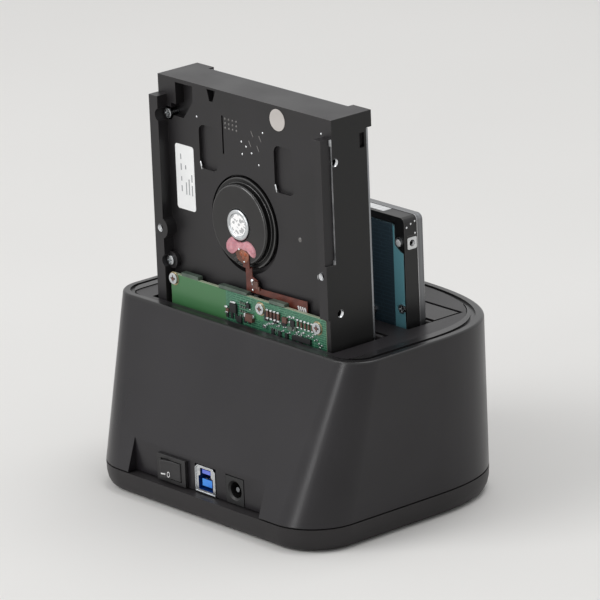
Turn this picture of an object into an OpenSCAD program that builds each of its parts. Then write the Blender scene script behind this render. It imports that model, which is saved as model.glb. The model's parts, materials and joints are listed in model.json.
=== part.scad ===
// Docking station for two hard drives, standing on a desk, with a 3.5 inch drive in the rear bay
// and a 2.5 inch drive in the front bay. Millimetres, +Z up, ports on the +Y side.
// Heights start at the underside of the rubber feet, X and Y at the middle of the footprint.

/* [Dock] */
// How far the housing reaches beyond each end of the bays at the seam
side_room = 14.7; // [14.3:0.1:16.5]
// How far each side leans out from the seam up to the rim
side_flare = 4.6; // [3.6:0.1:5]
// Height of the top of the rim
dock_top = 74.3; // [73:0.1:80]
// Height of the seam between the base plate and the upper shell
seam_z = 10; // [9.6:0.1:10.4]
// How far the back wall leans out from the rim down to the seam
back_lean = 20.9; // [20:0.1:21.6]
// How far the housing reaches beyond the front bay at the seam
front_room = 21.9; // [21:0.1:25.9]
// Thickness of the housing walls
wall = 2.2; // [1.8:0.1:2.4]
// Gap between parts that only lie beside each other
gap = 0.25; // [0.15:0.05:0.3]

/* [Bays] */
// Room between the large drive and each end of its bay
bay_end_room = 2.7; // [1.7:0.1:3.2]
// Width of a bay
bay_w = 29; // [28.6:0.1:29.2]
// Distance between the two bays
bay_pitch = 39; // [38.8:0.1:39.4]
// Thickness of a door
door_t = 1.6; // [1.2:0.1:1.8]
// How far the front large door is swung down
front_door_open = 0; // [0:1:45]

/* [Ports] */
// Height of the middle of the ports
port_z = 15.8; // [15.4:0.1:16.2]
// Position of the rocker switch across the back
switch_x = 18.2; // [17:0.1:20]
// Position of the data socket across the back
usb_x = -0.9; // [-1.5:0.1:0]
// Position of the power jack across the back
jack_x = -18.4; // [-20:0.1:-17]
// Half of the angle that the rocker turns through
rocker_tilt = 8; // [5:0.5:9]

/* [Large drive] */
// Width of the 3.5 inch drive
large_w = 101.6; // [101.2:0.1:101.9]
// Length of the 3.5 inch drive
large_l = 147; // [146:0.1:147.4]
// Thickness of the 3.5 inch drive at its corner lugs
large_t = 25.4; // [25:0.1:26]

/* [Small drive] */
// Width of the 2.5 inch drive
small_w = 69.85; // [69.6:0.05:70.1]
// Length of the 2.5 inch drive
small_l = 100.2; // [99.6:0.1:100.5]
// Thickness of the 2.5 inch drive
small_t = 9.5; // [9.2:0.1:9.6]

/* [Hidden] */
$fn = 48;

// Housing outline
lw = large_w / 2;
bay_half_w = lw + bay_end_room;
dock_half_w = bay_half_w + side_room;
mid_y = 0;
rim_round = 1;
rim_z = dock_top - rim_round;
base_z = 0.4;
front_lean = 4.8;
seam_corner = 21;
rim_corner = 12.5;
outline_points = 120;
back_depth = 58.6;
plate_half_w = dock_half_w + side_flare - 8.8;
plate_back = back_depth - 24.3;
plate_top = dock_top - 0.3;
plate_bottom = dock_top - 2.7;

// Bays: y of the near edge of each bay, and the height of the bay floor
rear_edge = back_depth - 26.7;
front_edge = rear_edge - bay_pitch;
rear_far = rear_edge - bay_w;
front_far = front_edge - bay_w;
front_depth = front_room - front_far;
plate_front = front_depth - 9;
bay_floor = 17.3;
bay_wall = 1.5;
back_wall = 0.9;
seat_z = 17.5;

// Drives: y of the circuit board side of each drive
large_y = rear_edge - 0.9;
small_y = large_y - bay_pitch - 1.4;
connector_x = -lw + 30.1;
connector_q = 3.5;

// Doors
door_axis = 1.3;
door_axis_z = plate_top - 1.4;
pin_r = 0.6;
knuckle_r = 1.15;
small_knuckle_r = 0.95;
small_pin_r = 0.5;
door_half_w = bay_half_w - 1.3;
door_reach = bay_w - door_axis - 0.5;
small_door_reach = 13.1;
small_axis = door_reach - small_door_reach + 0.1;
small_door_from = -door_half_w + 0.3;
small_door_to = 21.6;
coil_from = bay_half_w - 8.5;
coil_to = coil_from + 6;

// Board and ports
board_t = 1.6;
board_top = port_z - 5.6;
board_z = board_top - board_t;
board_half_w = dock_half_w - 18.2;
board_back = back_depth - 7.1;
board_front = front_far + 1.1;
panel_y = back_depth - 4.6;
panel_from = -37;
panel_to = 41.4;

// Points of a rounded plan with a flatter back than front
function part_power(v, n) = sign(v) * pow(abs(v), 2 / n);
function outline(a, back, front, nb, nf) = [
  for (i = [0 : outline_points - 1])
    let (t = 360 * i / outline_points, s = sin(t), c = cos(t), n = s >= 0 ? nb : nf)
      [a * part_power(c, n), mid_y + (s >= 0 ? back : front) * part_power(s, n)]
];
// Points of one housing level: straight sides and back with round corners, and a bowed front
function quarter(a, back, r) = concat(
  [[a, 0]],
  [for (i = [0 : 18]) [a - r + r * cos(5 * i), back - r + r * sin(5 * i)]]);
function plan(a, back, front, r, nf) =
  let (q = quarter(a, back, r))
    concat(
      q,
      [for (i = [19 : -1 : 0]) [-q[i][0], q[i][1]]],
      [for (i = [61 : 119]) let (t = 3 * i) [a * part_power(cos(t), nf), front * part_power(sin(t), nf)]]);
function lift(points, z) = [for (p = points) [p[0], p[1], z]];

// Housing outline at height z, drawn in by inset
function rise(z) = max(0, min(1, (z - seam_z) / (rim_z - seam_z)));
function body_level(z, inset) =
  let (h = rise(z))
    lift(plan(dock_half_w + side_flare * h - inset,
              back_depth - back_lean * h - inset,
              front_depth - front_lean * h - inset,
              seam_corner + (rim_corner - seam_corner) * h - inset, 3.1), z);

module loft(levels) {
  n = len(levels[0]);
  last = (len(levels) - 1) * n;
  sides = [
    for (j = [0 : len(levels) - 2], i = [0 : n - 1])
      let (a = j * n + i, b = j * n + (i + 1) % n)
        each [[a, a + n, b + n], [a, b + n, b]]
  ];
  polyhedron(
    points = [for (l = levels) each l],
    faces = concat([[for (i = [0 : n - 1]) i]], sides, [[for (i = [n - 1 : -1 : 0]) last + i]]));
}

// A box from two corners
module span(a, b) {
  translate([min(a[0], b[0]), min(a[1], b[1]), min(a[2], b[2])])
    cube([abs(b[0] - a[0]), abs(b[1] - a[1]), abs(b[2] - a[2])]);
}

// A disc or tube along Z, Y or X
module post(r, x, y, z0, z1) {
  translate([x, y, z0]) cylinder(r = r, h = z1 - z0);
}
module rod_y(r, x, z, y0, y1) {
  translate([x, y0, z]) rotate([-90, 0, 0]) cylinder(r = r, h = y1 - y0);
}
module rod_x(r, y, z, x0, x1) {
  translate([x0, y, z]) rotate([0, 90, 0]) cylinder(r = r, h = x1 - x0);
}

// A plate with round corners, drawn in XZ, from depth y0 to y1
module face_plate(x0, x1, z0, z1, r, y0, y1) {
  translate([0, y1, 0]) rotate([90, 0, 0]) linear_extrude(y1 - y0) round_rect(x0, x1, z0, z1, r);
}
module round_rect(x0, x1, z0, z1, r) {
  translate([x0 + r, z0]) square([x1 - x0 - 2 * r, z1 - z0]);
  translate([x0, z0 + r]) square([x1 - x0, z1 - z0 - 2 * r]);
  for (x = [x0 + r, x1 - r], z = [z0 + r, z1 - r]) translate([x, z]) circle(r = r);
}

// Screw with a round head and a cross recess, head at the origin facing +Z, shank down
module screw(head_r, head_h, shank_r, shank_l) {
  difference() {
    union() {
      cylinder(r = head_r, h = head_h, $fn = 32);
      translate([0, 0, -shank_l]) cylinder(r = shank_r, h = shank_l + 0.01, $fn = 24);
    }
    for (turn = [0, 90])
      rotate([0, 0, turn])
        translate([-head_r * 0.6, -head_r * 0.14, head_h * 0.45])
          cube([head_r * 1.2, head_r * 0.28, head_h]);
  }
}

// Housing

boss_back = back_depth - 16.6;
boss_front = front_far - bay_wall - 3.8;
boss_spots = [
  [dock_half_w - 13.2, boss_back], [13.2 - dock_half_w, boss_back],
  [dock_half_w - 23.2, boss_front], [23.2 - dock_half_w, boss_front]
];
boss_rib = 1.6;
leg_x = bay_half_w + 5;
leg_back = rear_edge - 9.9;
leg_front = front_far + 12.1;
leg_spots = [[leg_x, leg_back], [-leg_x, leg_back], [leg_x, leg_front], [-leg_x, leg_front]];
post_x = board_half_w - 6;
post_back = board_back - 5.5;
post_front = board_front + 5;
post_spots = [[post_x, post_back], [-post_x, post_back], [post_x, post_front], [-post_x, post_front]];
foot_spots = [
  [dock_half_w - 21.2, rear_edge - 0.9], [21.2 - dock_half_w, rear_edge - 0.9],
  [dock_half_w - 36.2, front_far - 3.9], [36.2 - dock_half_w, front_far - 3.9]
];

module shell_outer() {
  loft([
    body_level(seam_z + 0.2, 0.15),
    body_level(seam_z + 0.5, 0),
    body_level(seam_z + 12, 0),
    body_level(seam_z + 25, 0),
    body_level(seam_z + 44, 0),
    body_level(rim_z, 0),
    body_level(rim_z + rim_round * 0.5, rim_round * 0.14),
    body_level(rim_z + rim_round * 0.85, rim_round * 0.5),
    body_level(rim_z + rim_round, rim_round)
  ]);
}

module shell_cavity() {
  loft([
    body_level(seam_z - 2, wall),
    body_level(seam_z, wall),
    body_level(seam_z + 10, wall),
    body_level(seam_z + 24, wall),
    body_level(seam_z + 42, wall),
    body_level(rim_z - 0.4, wall)
  ]);
}

function rim_plan(inset) =
  plan(dock_half_w + side_flare - inset, back_depth - back_lean - inset,
       front_depth - front_lean - inset, rim_corner - inset, 3.1);

module plate_outline(grow) {
  polygon(outline(plate_half_w + grow, plate_back + grow, plate_front + grow, 20, 3.2));
}

module upper_shell() {
  color("#2f2d2e")
    difference() {
      shell_outer();
      difference() {
        shell_cavity();
        for (p = boss_spots) {
          post(3.5, p[0], p[1], seam_z - 3, 36);
          span([p[0] - boss_rib / 2, p[1], seam_z + 0.2], [p[0] + boss_rib / 2, p[1] + sign(p[1]) * 16, 34]);
        }
        span([panel_from - 2, panel_y - 2, seam_z + 0.2], [panel_to + 2, panel_y + 8, seam_z + 22]);
      }
      // Groove that runs round the rim
      translate([0, 0, dock_top - 0.8])
        linear_extrude(2)
          difference() {
            polygon(rim_plan(3));
            polygon(rim_plan(4.8));
          }
      // Opening for the top plate, with a narrow groove round it
      translate([0, 0, rim_z - 6.3]) linear_extrude(20) plate_outline(gap);
      // Recess for the ports
      span([panel_from, panel_y, seam_z - 5], [panel_to, panel_y + 20, seam_z + 30]);
      // Holes for the three ports
      span([switch_x - 6.85, panel_y - 4, port_z - 4.6], [switch_x + 6.85, panel_y + 4, port_z + 4.6]);
      span([usb_x - 6.2, panel_y - 4, port_z - 5.8], [usb_x + 6.2, panel_y + 4, port_z + 5.8]);
      span([jack_x - 5.5, panel_y - 4, port_z - 5.7], [jack_x + 5.5, panel_y + 4, port_z + 5.7]);
      // Pilot holes for the housing screws
      for (p = boss_spots) post(1.2, p[0], p[1], 0, 20);
      // Window for the light pipe
      span([-6.2, -70, seam_z + 1], [6.2, -50, seam_z + 4.2]);
    }
}

module base_plate() {
  color("#2a2829")
    difference() {
      union() {
        difference() {
          loft([
            body_level(base_z, 3.6),
            body_level(base_z + 0.4, 2.6),
            body_level(base_z + 1.2, 1.6),
            body_level(base_z + 3, 0.7),
            body_level(base_z + 5.6, 0.15),
            body_level(seam_z - 0.3, 0)
          ]);
          loft([
            body_level(base_z + 2.4, 4.2),
            body_level(base_z + 4, 2.6),
            body_level(seam_z + 5, 2.6)
          ]);
        }
        // Lip that stands inside the upper shell
        difference() {
          loft([body_level(seam_z - 2, wall + gap), body_level(seam_z + 2, wall + gap + 0.1)]);
          loft([body_level(seam_z - 3, wall + 1.4), body_level(seam_z + 5, wall + 1.4)]);
          span([panel_from - 4, panel_y - 12, seam_z - 0.3], [panel_to + 4, panel_y + 10, seam_z + 5]);
          span([-7, -70, seam_z + 0.6], [7, -40, seam_z + 5]);
          for (p = boss_spots) post(3.9, p[0], p[1], seam_z - 0.3, seam_z + 5);
          for (p = boss_spots)
            span([p[0] - boss_rib, p[1], seam_z - 0.3],
                 [p[0] + boss_rib, p[1] + sign(p[1]) * 20, seam_z + 5]);
        }
        // Shelf below the ports
        intersection() {
          span([panel_from - 1, panel_y - 2, seam_z - 1.8], [panel_to + 1, panel_y + 8, seam_z - 0.3]);
          loft([body_level(seam_z - 4, 1), body_level(seam_z + 2, 1)]);
        }
        for (p = post_spots) post(3.2, p[0], p[1], base_z + 2, board_z);
        for (p = boss_spots) post(3.4, p[0], p[1], base_z + 2, seam_z - 3.2);
        for (p = leg_spots) post(3.6, p[0], p[1], base_z + 2, 5.4);
      }
      for (p = post_spots) post(1.1, p[0], p[1], board_z - 4.5, board_z + 1);
      // Through holes and head pockets for the screws from below
      for (p = concat(boss_spots, leg_spots)) {
        post(1.75, p[0], p[1], 0, 20);
        post(3.1, p[0], p[1], 0, base_z + 1.9);
      }
      for (p = foot_spots) post(5.6, p[0], p[1], 0, base_z + 0.7);
    }
}

module rubber_feet() {
  color("#1a1a1a")
    for (p = foot_spots) {
      translate([p[0], p[1], 0])
        rotate_extrude() polygon([[0, 0], [4.6, 0], [5.2, 0.6], [5.2, base_z + 0.7], [0, base_z + 0.7]]);
    }
}

module well(near, far, near_wall) {
  difference() {
    span([-bay_half_w - bay_wall, far - bay_wall, bay_floor - 1],
         [bay_half_w + bay_wall, near + near_wall, plate_bottom + 0.01]);
    span([-bay_half_w, far, bay_floor], [bay_half_w, near, plate_top + 5]);
  }
}

module bay_frame() {
  color("#343233")
    difference() {
      union() {
        translate([0, 0, plate_bottom]) linear_extrude(plate_top - plate_bottom) plate_outline(0);
        well(rear_edge, rear_far, back_wall);
        well(front_edge, front_far, bay_wall);
        for (p = leg_spots) {
          post(3, p[0], p[1], 5.5, plate_bottom + 0.01);
          span([sign(p[0]) * (bay_half_w + 1), p[1] - 0.9, bay_floor], [p[0], p[1] + 0.9, plate_bottom]);
        }
        for (x = [-bay_half_w - 0.5, bay_half_w + 0.5])
          span([x - 1, front_edge + 1, 30], [x + 1, rear_far - 1, 50]);
      }
      for (edge = [[rear_edge, rear_far, rear_plug_y], [front_edge, front_far, front_plug_y]]) {
        span([-bay_half_w, edge[1], bay_floor], [bay_half_w, edge[0], plate_top + 1]);
        // Room for the plug block of the board below
        span([connector_x - 23.2, edge[2] - 4.4, bay_floor - 3],
             [connector_x + 23.2, edge[2] + 3.6, bay_floor + 1]);
        // Seats for the hinge pin
        rod_x(pin_r, edge[1] + door_axis, door_axis_z, -bay_half_w - 1.2, bay_half_w + 1.2);
      }
      for (p = leg_spots) post(1.2, p[0], p[1], 4, 18);
    }
}

module large_door_pins() {
  color("#b9bcc0")
    for (far = [rear_far, front_far])
      rod_x(pin_r, far + door_axis, door_axis_z, -bay_half_w - 1.2, bay_half_w + 1.2);
}

// Torsion spring round a pin: coils between two X positions, with one leg down the bay wall
coil_r = 0.95;
wire_r = 0.18;
small_coil_r = 0.78;
small_wire_r = 0.13;
coil_turns = 5;
coil_steps = 16;
function coil_path(x0, x1, r, down) = concat(
  [[x0, -r, -down], [x0, -r, -down / 2]],
  [for (i = [0 : coil_turns * coil_steps])
    let (t = i / coil_steps, a = 180 + 360 * t)
      [x0 + (x1 - x0) * t / coil_turns, r * cos(a), r * sin(a)]]);
// Least gap between one stretch of wire and another that lies half a turn or more along it
function least_gap(path, r) = min([
  for (i = [2 : len(path) - 1], j = [i + coil_steps / 2 : 1 : len(path) - 1]) norm(path[i] - path[j])
]) - 2 * r;
module wire(path, r) {
  n = 6;
  last = len(path) - 1;
  points = [
    for (k = [0 : last])
      let (
        p = path[k],
        d = path[min(last, k + 1)] - path[max(0, k - 1)],
        t = d / norm(d),
        s0 = cross(t, [1, 0, 0]),
        s = s0 / norm(s0),
        u = cross(t, s))
        for (i = [0 : n - 1]) p + r * cos(360 * i / n) * s + r * sin(360 * i / n) * u
  ];
  sides = [
    for (k = [0 : last - 1], i = [0 : n - 1])
      let (a = k * n + i, b = k * n + (i + 1) % n)
        each [[a, b, b + n], [a, b + n, a + n]]
  ];
  polyhedron(points = points,
    faces = concat([[for (i = [n - 1 : -1 : 0]) i]], sides, [[for (i = [0 : n - 1]) last * n + i]]));
}

large_coil = coil_path(coil_from + 0.6, coil_to - 0.6, coil_r, 5);
small_coil = coil_path(-19.6, -14.4, small_coil_r, 0.6);
echo(large_spring_gap = least_gap(large_coil, wire_r));
echo(small_spring_gap = least_gap(small_coil, small_wire_r));

module large_door_springs() {
  color("#8f9296")
    for (far = [rear_far, front_far])
      translate([0, far + door_axis, door_axis_z]) wire(large_coil, wire_r);
}

// Doors, drawn closed with the hinge axis along X at the origin and the free edge toward +Y.
// The large door has a notch at its free edge for the small door.
module large_door() {
  difference() {
    union() {
      span([-door_half_w, 0, plate_top - 0.1 - door_t - door_axis_z],
           [door_half_w, door_reach, plate_top - 0.1 - door_axis_z]);
      rod_x(knuckle_r, 0, 0, -door_half_w, coil_from - 0.2);
      rod_x(knuckle_r, 0, 0, coil_to + 0.2, door_half_w);
      }
    // Notch for the small door
    span([-door_half_w - 1, small_axis - 1.5, -5], [small_door_to + 0.35, door_reach + 1, 5]);
    span([coil_from - 0.2, -2, -3], [coil_to + 0.2, 1.7, 3]);
    rod_x(pin_r + 0.1, 0, 0, -door_half_w - 1, door_half_w + 1);
  }
  // Eyes that hold the pin of the small door
  for (x = [-32, 8])
    difference() {
      span([x, small_axis - 3, -0.9], [x + 3, small_axis + 1, plate_top - 0.1 - door_axis_z - 0.4]);
      rod_x(small_pin_r, small_axis, 0, x - 1, x + 4);
    }
}

module small_door() {
  difference() {
    union() {
      span([small_door_from, 0, plate_top - 0.1 - door_t - door_axis_z],
           [small_door_to, small_door_reach, plate_top - 0.1 - door_axis_z]);
      rod_x(small_knuckle_r, 0, 0, small_door_from, small_door_to);
    }
    rod_x(small_pin_r + 0.1, 0, 0, small_door_from - 1, small_door_to + 1);
    for (x = [-32, 8]) span([x - 0.2, -3, -3], [x + 3.2, 1.4, 3]);
    span([-20.3, -3, -3], [-13.7, 1.5, 3]);
  }
}

module at_hinge(far, angle) {
  translate([0, far + door_axis, door_axis_z]) rotate([-angle, 0, 0]) children();
}
module at_small_hinge(far, large_angle, small_angle) {
  at_hinge(far, large_angle) translate([0, small_axis, 0]) rotate([-small_angle, 0, 0]) children();
}

module small_pin() { rod_x(small_pin_r, 0, 0, small_door_from + 2, small_door_to - 2); }
module small_spring() { wire(small_coil, small_wire_r); }

module rear_large_door() { color("#3a3839") at_hinge(rear_far, 90) large_door(); }
module rear_small_door() { color("#3a3839") at_small_hinge(rear_far, 90, 0) small_door(); }
module rear_small_pin() { color("#b9bcc0") at_small_hinge(rear_far, 90, 0) small_pin(); }
module rear_small_spring() { color("#8f9296") at_small_hinge(rear_far, 90, 0) small_spring(); }
module front_large_door() { color("#3a3839") at_hinge(front_far, front_door_open) large_door(); }
module front_small_door() { color("#3a3839") at_small_hinge(front_far, front_door_open, 90) small_door(); }
module front_small_pin() { color("#b9bcc0") at_small_hinge(front_far, front_door_open, 0) small_pin(); }
module front_small_spring() { color("#8f9296") at_small_hinge(front_far, front_door_open, 0) small_spring(); }

// Electronics

rear_plug_y = large_y - connector_q;
front_plug_y = small_y - connector_q;

module main_board() {
  color("#1f5a3c")
    difference() {
      span([-board_half_w, board_front, board_z], [board_half_w, board_back, board_top]);
      for (p = post_spots) post(1.6, p[0], p[1], board_z - 1, board_top + 1);
      for (x = [-board_half_w, board_half_w]) span([x - 3, -4, board_z - 1], [x + 3, 4, board_top + 1]);
    }
}

module bridge_chip() {
  color("#202124") {
    span([8, board_back - 29.5, board_top], [18, board_back - 19.5, board_top + 1]);
    span([-38, front_plug_y - 13.1, board_top], [-31, front_plug_y - 6.1, board_top + 0.9]);
  }
}

can_spots = [
  [16 - board_half_w, board_back - 11, 4, 9], [7 - board_half_w, board_back - 13, 3.15, 7],
  [board_half_w - 16, board_back - 13, 4, 9], [board_half_w - 7.5, board_back - 14, 3.15, 7]
];
module board_capacitors() {
  color("#c4c7cb")
    for (c = can_spots)
      difference() {
        post(c[2], c[0], c[1], board_top, board_top + c[3]);
        translate([c[0], c[1], board_top + c[3] - 1.6])
          rotate_extrude() polygon([[c[2] - 0.35, 0], [c[2] + 1, 0], [c[2] + 1, 0.5], [c[2] - 0.35, 0.5]]);
      }
}

module board_inductors() {
  color("#4a4a4d")
    for (p = [[32, board_back - 33.5], [41, board_back - 25.5], [40, board_front + 13]])
      difference() {
        span([p[0] - 3, p[1] - 3, board_top], [p[0] + 3, p[1] + 3, board_top + 3]);
        post(2, p[0], p[1], board_top + 2.4, board_top + 4);
      }
}

module board_chips() {
  color("#2b2b2e") {
    for (p = [
      [27, board_back - 12.5], [27, board_back - 20.5], [-26.5, board_back - 6.5], [30, -10],
      [-6, 8], [10, board_front + 7], [-12, board_front + 5], [20, 12]])
      span([p[0] - 2, p[1] - 1.6, board_top], [p[0] + 2, p[1] + 1.6, board_top + 1.2]);
    for (i = [0 : 6])
      span([6 + 2.4 * i, board_back - 17.3, board_top], [7.2 + 2.4 * i, board_back - 15.5, board_top + 0.7]);
    for (i = [0 : 5]) span([12 + 2.4 * i, -18, board_top], [13.2 + 2.4 * i, -16.2, board_top + 0.7]);
    span([29, board_back - 5.5, board_top], [36, board_back - 2.5, board_top + 2.4]);
  }
}

// Socket that a drive plugs onto: base on the board, nose with two slots of different length
module receptacle(y) {
  difference() {
    union() {
      span([connector_x - 22.6, y - 3.4, board_top], [connector_x + 22.6, y + 3, bay_floor - 1.6]);
      span([connector_x - 18.4, y - 2.2, board_top], [connector_x + 18.4, y + 2.2, 22]);
    }
    span([connector_x - 17, y - 0.85, 17], [connector_x + 4.2, y + 0.85, 30]);
    span([connector_x + 6.2, y - 0.85, 17], [connector_x + 17, y + 0.85, 30]);
    span([connector_x - 17, y - 1.6, 17], [connector_x - 15.4, y + 0.85, 30]);
    span([connector_x + 15.4, y - 1.6, 17], [connector_x + 17, y + 0.85, 30]);
  }
}
module rear_receptacle() { color("#18181a") receptacle(rear_plug_y); }
module front_receptacle() { color("#18181a") receptacle(front_plug_y); }

// Contact blades: one row along the side of each slot, and their feet on the board
module receptacle_contacts() {
  color("#c9a24a")
    for (y = [rear_plug_y, front_plug_y]) {
      for (i = [0 : 14]) contact_blade(connector_x - 14.8 + 1.27 * i, y);
      for (i = [0 : 6]) contact_blade(connector_x + 7.2 + 1.27 * i, y);
    }
}
module contact_blade(x, y) {
  span([x - 0.25, y + 0.65, 17.2], [x + 0.25, y + 0.85, 21.4]);
  span([x - 0.25, y + 3, board_top], [x + 0.25, y + 4.1, board_top + 0.3]);
}

// Data socket: metal shell with cut top corners and a stepped mouth
usb_y0 = panel_y - 17;
usb_y1 = panel_y + 0.4;
module usb_profile(g) {
  polygon([
    [-6 + g, -5.6 + g], [6 - g, -5.6 + g], [6 - g, 4.2 - g / 2], [4.6 - g / 2, 5.6 - g],
    [-4.6 + g / 2, 5.6 - g], [-6 + g, 4.2 - g / 2]]);
}
module usb_mouth(g) {
  polygon([
    [-4.3 + g, -4.4 + g], [4.3 - g, -4.4 + g], [4.3 - g, 0.9 - g], [3.2 - g, 1.6 - g], [3.2 - g, 4.5 - g],
    [-3.2 + g, 4.5 - g], [-3.2 + g, 1.6 - g], [-4.3 + g, 0.9 - g]]);
}
module along_y(y0, y1) {
  translate([0, y1, 0]) rotate([90, 0, 0]) linear_extrude(y1 - y0) children();
}
module usb_shell() {
  color("#c3c6ca")
    translate([usb_x, 0, port_z])
      difference() {
        along_y(usb_y0, usb_y1) usb_profile(0);
        along_y(usb_y0 + 0.5, usb_y1 + 1) usb_profile(0.45);
        span([-5, usb_y0 - 1, -6], [5, usb_y0 + 7, -4]);
      }
}
module usb_insulator() {
  color("#1b49b8")
    translate([usb_x, 0, port_z]) {
      difference() {
        along_y(usb_y0 + 0.6, usb_y1 - 0.4) usb_profile(0.5);
        along_y(usb_y0 + 7, usb_y1) usb_mouth(0);
        // Room for the contact feet below
        span([-5, usb_y0 - 1, -7], [5, usb_y0 + 6, -3.4]);
      }
      span([-2.8, usb_y0 + 6.5, -2.9], [2.8, usb_y1 - 1.2, 0]);
      span([-2.4, usb_y0 + 6.5, 2], [2.4, usb_y1 - 1.8, 3.6]);
    }
}
module usb_contacts() {
  color("#d0aa55")
    translate([usb_x, 0, port_z]) {
      for (x = [-1.25, 1.25]) {
        span([x - 0.4, usb_y1 - 8, 0], [x + 0.4, usb_y1 - 2, 0.15]);
        span([x - 0.4, usb_y1 - 8, -3.05], [x + 0.4, usb_y1 - 2, -2.9]);
      }
      for (i = [-2 : 2]) span([i * 0.9 - 0.25, usb_y1 - 8, 1.85], [i * 0.9 + 0.25, usb_y1 - 2.4, 2]);
      for (i = [-2 : 2])
        span([i * 1.8 - 0.3, usb_y0 + 1, board_top - port_z + 0.01], [i * 1.8 + 0.3, usb_y0 + 5, -3.4]);
    }
}

// Power jack: square nose in the panel, bore with a centre pin, spring contact beside the bore
jack_y0 = panel_y - 15;
jack_y1 = panel_y + 0.2;
jack_r = 3.25;
module jack_housing() {
  color("#19191b")
    difference() {
      span([jack_x - 5.2, jack_y0, board_top], [jack_x + 5.2, jack_y1, port_z + 5.4]);
      rod_y(jack_r, jack_x, port_z, jack_y1 - 10.5, jack_y1 + 1);
      translate([jack_x, jack_y1 + 0.01, port_z])
        rotate([90, 0, 0])
          rotate_extrude() polygon([[0, 0], [jack_r + 0.8, 0], [jack_r - 0.01, 0.8], [0, 0.8]]);
      rod_y(1, jack_x, port_z, jack_y1 - 13, jack_y1 - 5);
      span([jack_x - 1, jack_y1 - 9.5, port_z - 4.1], [jack_x + 1, jack_y1 - 2.5, port_z - 2]);
    }
}
module jack_pin() {
  color("#c9ccd0") {
    rod_y(1, jack_x, port_z, jack_y1 - 13, jack_y1 - 1.6);
  }
}
module jack_spring() {
  color("#c9a24a") {
    span([jack_x - 0.9, jack_y1 - 9.4, port_z - 4], [jack_x + 0.9, jack_y1 - 2.6, port_z - 3.6]);
    span([jack_x - 0.9, jack_y1 - 6.4, port_z - 3.6], [jack_x + 0.9, jack_y1 - 5.4, port_z - jack_r - 0.05]);
  }
}

// Rocker switch: bezel and body pressed into the panel, terminals bent down to the board
switch_y0 = panel_y - 12;
bezel_y = panel_y + 1.5;
module switch_frame() {
  color("#232223")
    difference() {
      union() {
        span([switch_x - 8.5, panel_y, port_z - 5.4], [switch_x + 8.5, bezel_y, port_z + 5.4]);
        span([switch_x - 6.7, switch_y0, port_z - 4.5], [switch_x + 6.7, panel_y, port_z + 4.5]);
      }
      span([switch_x - 6.1, switch_y0 + 2, port_z - 3.9], [switch_x + 6.1, bezel_y + 1, port_z + 3.9]);
      // Seats for the trunnions of the rocker
      translate([switch_x, rocker_y, port_z - 4.25]) cylinder(r = 1.1, h = 8.5);
      for (x = [-3.5, 3.5])
        span([switch_x + x - 0.35, switch_y0 - 1, port_z - 1.6],
             [switch_x + x + 0.35, switch_y0 + 3, port_z + 1.6]);
    }
}
rocker_y = panel_y - 1.2;
module rocker() {
  color("#2c2b2c")
    translate([switch_x, rocker_y, port_z])
      rotate([0, 0, rocker_tilt]) {
        translate([0, 0, -3.65])
          linear_extrude(7.3)
            polygon([
              [-5.7, -1], [-2, -3.2], [2, -3.2], [5.7, -1],
              [5.45, 3.6], [5.1, 3.85], [0, 3.1], [-5.1, 3.85], [-5.45, 3.6]]);
        translate([0, 0, -4.2]) cylinder(r = 1, h = 8.4);
      }
}
module switch_terminals() {
  color("#cdb06a")
    for (x = [-3.5, 3.5]) {
      span([switch_x + x - 0.35, switch_y0 - 3, port_z - 1.6],
           [switch_x + x + 0.35, switch_y0 + 2.6, port_z + 1.6]);
      span([switch_x + x - 0.35, switch_y0 - 3, board_top],
           [switch_x + x + 0.35, switch_y0 - 2.2, port_z - 1.6]);
    }
}

module board_screws() {
  color("#a7aaae")
    for (p = post_spots) translate([p[0], p[1], board_top]) screw(2.6, 1.4, 1.1, 5.8);
}
module housing_screws() {
  color("#3b3b3d")
    for (p = boss_spots) translate([p[0], p[1], base_z + 1.9]) rotate([180, 0, 0]) screw(2.8, 1.5, 1.2, 15.5);
}
module frame_screws() {
  color("#3b3b3d")
    for (p = leg_spots) translate([p[0], p[1], base_z + 1.9]) rotate([180, 0, 0]) screw(2.8, 1.5, 1.2, 13);
}

// Front status light
led_y = board_front - 0.2;
module light_pipe() {
  color("#cfe3ee")
    span([-6, mid_y - front_depth - 0.4, seam_z + 1.2], [6, led_y - 3.3, seam_z + 4]);
}
module status_led() {
  color("#f2f2e6") {
    span([-1.6, led_y - 3.1, seam_z + 1.4], [1.6, led_y - 1.9, seam_z + 3.8]);
    span([-1.6, led_y - 1.9, board_z], [1.6, led_y, seam_z + 3.8]);
  }
}

// Large drive, drawn with its board side at y = 0 facing +Y and its plug end at z = 0

floor_q = 5;
cover_q = large_t - 2.8;
rail_w = 5;
rail_top = large_l - 7.3;
cup_q = 2.5;
cup_r = 15.6;
motor_x = 2.9;
motor_z = large_l - 51.6;
arm_x = -27;
arm_z = large_l - 99;
arm_post_r = 2;
arm_reach = 0.785 * norm([motor_x - arm_x, motor_z - arm_z]);
disc_r = min(lw - 8.8, large_l - motor_z - 9.6);
board_high = motor_z - 27.4;

module at_large() { translate([0, large_y, seat_z]) children(); }
module at_small() { translate([-lw + small_w / 2, small_y, seat_z]) children(); }

// A pocket with one corner cut off
module corner_pocket(depth) {
  along_y(-floor_q - depth, -floor_q + 1)
    polygon([
      [lw - 10.3, large_l - 1.6], [lw - 20.6, large_l - 1.6], [lw - 20.6, large_l - 8],
      [lw - 14.6, large_l - 15.5],
      [lw - 7.3, large_l - 15.5], [lw - 7.3, large_l - 10.5], [lw - 10.3, large_l - 10.5]]);
}

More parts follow.
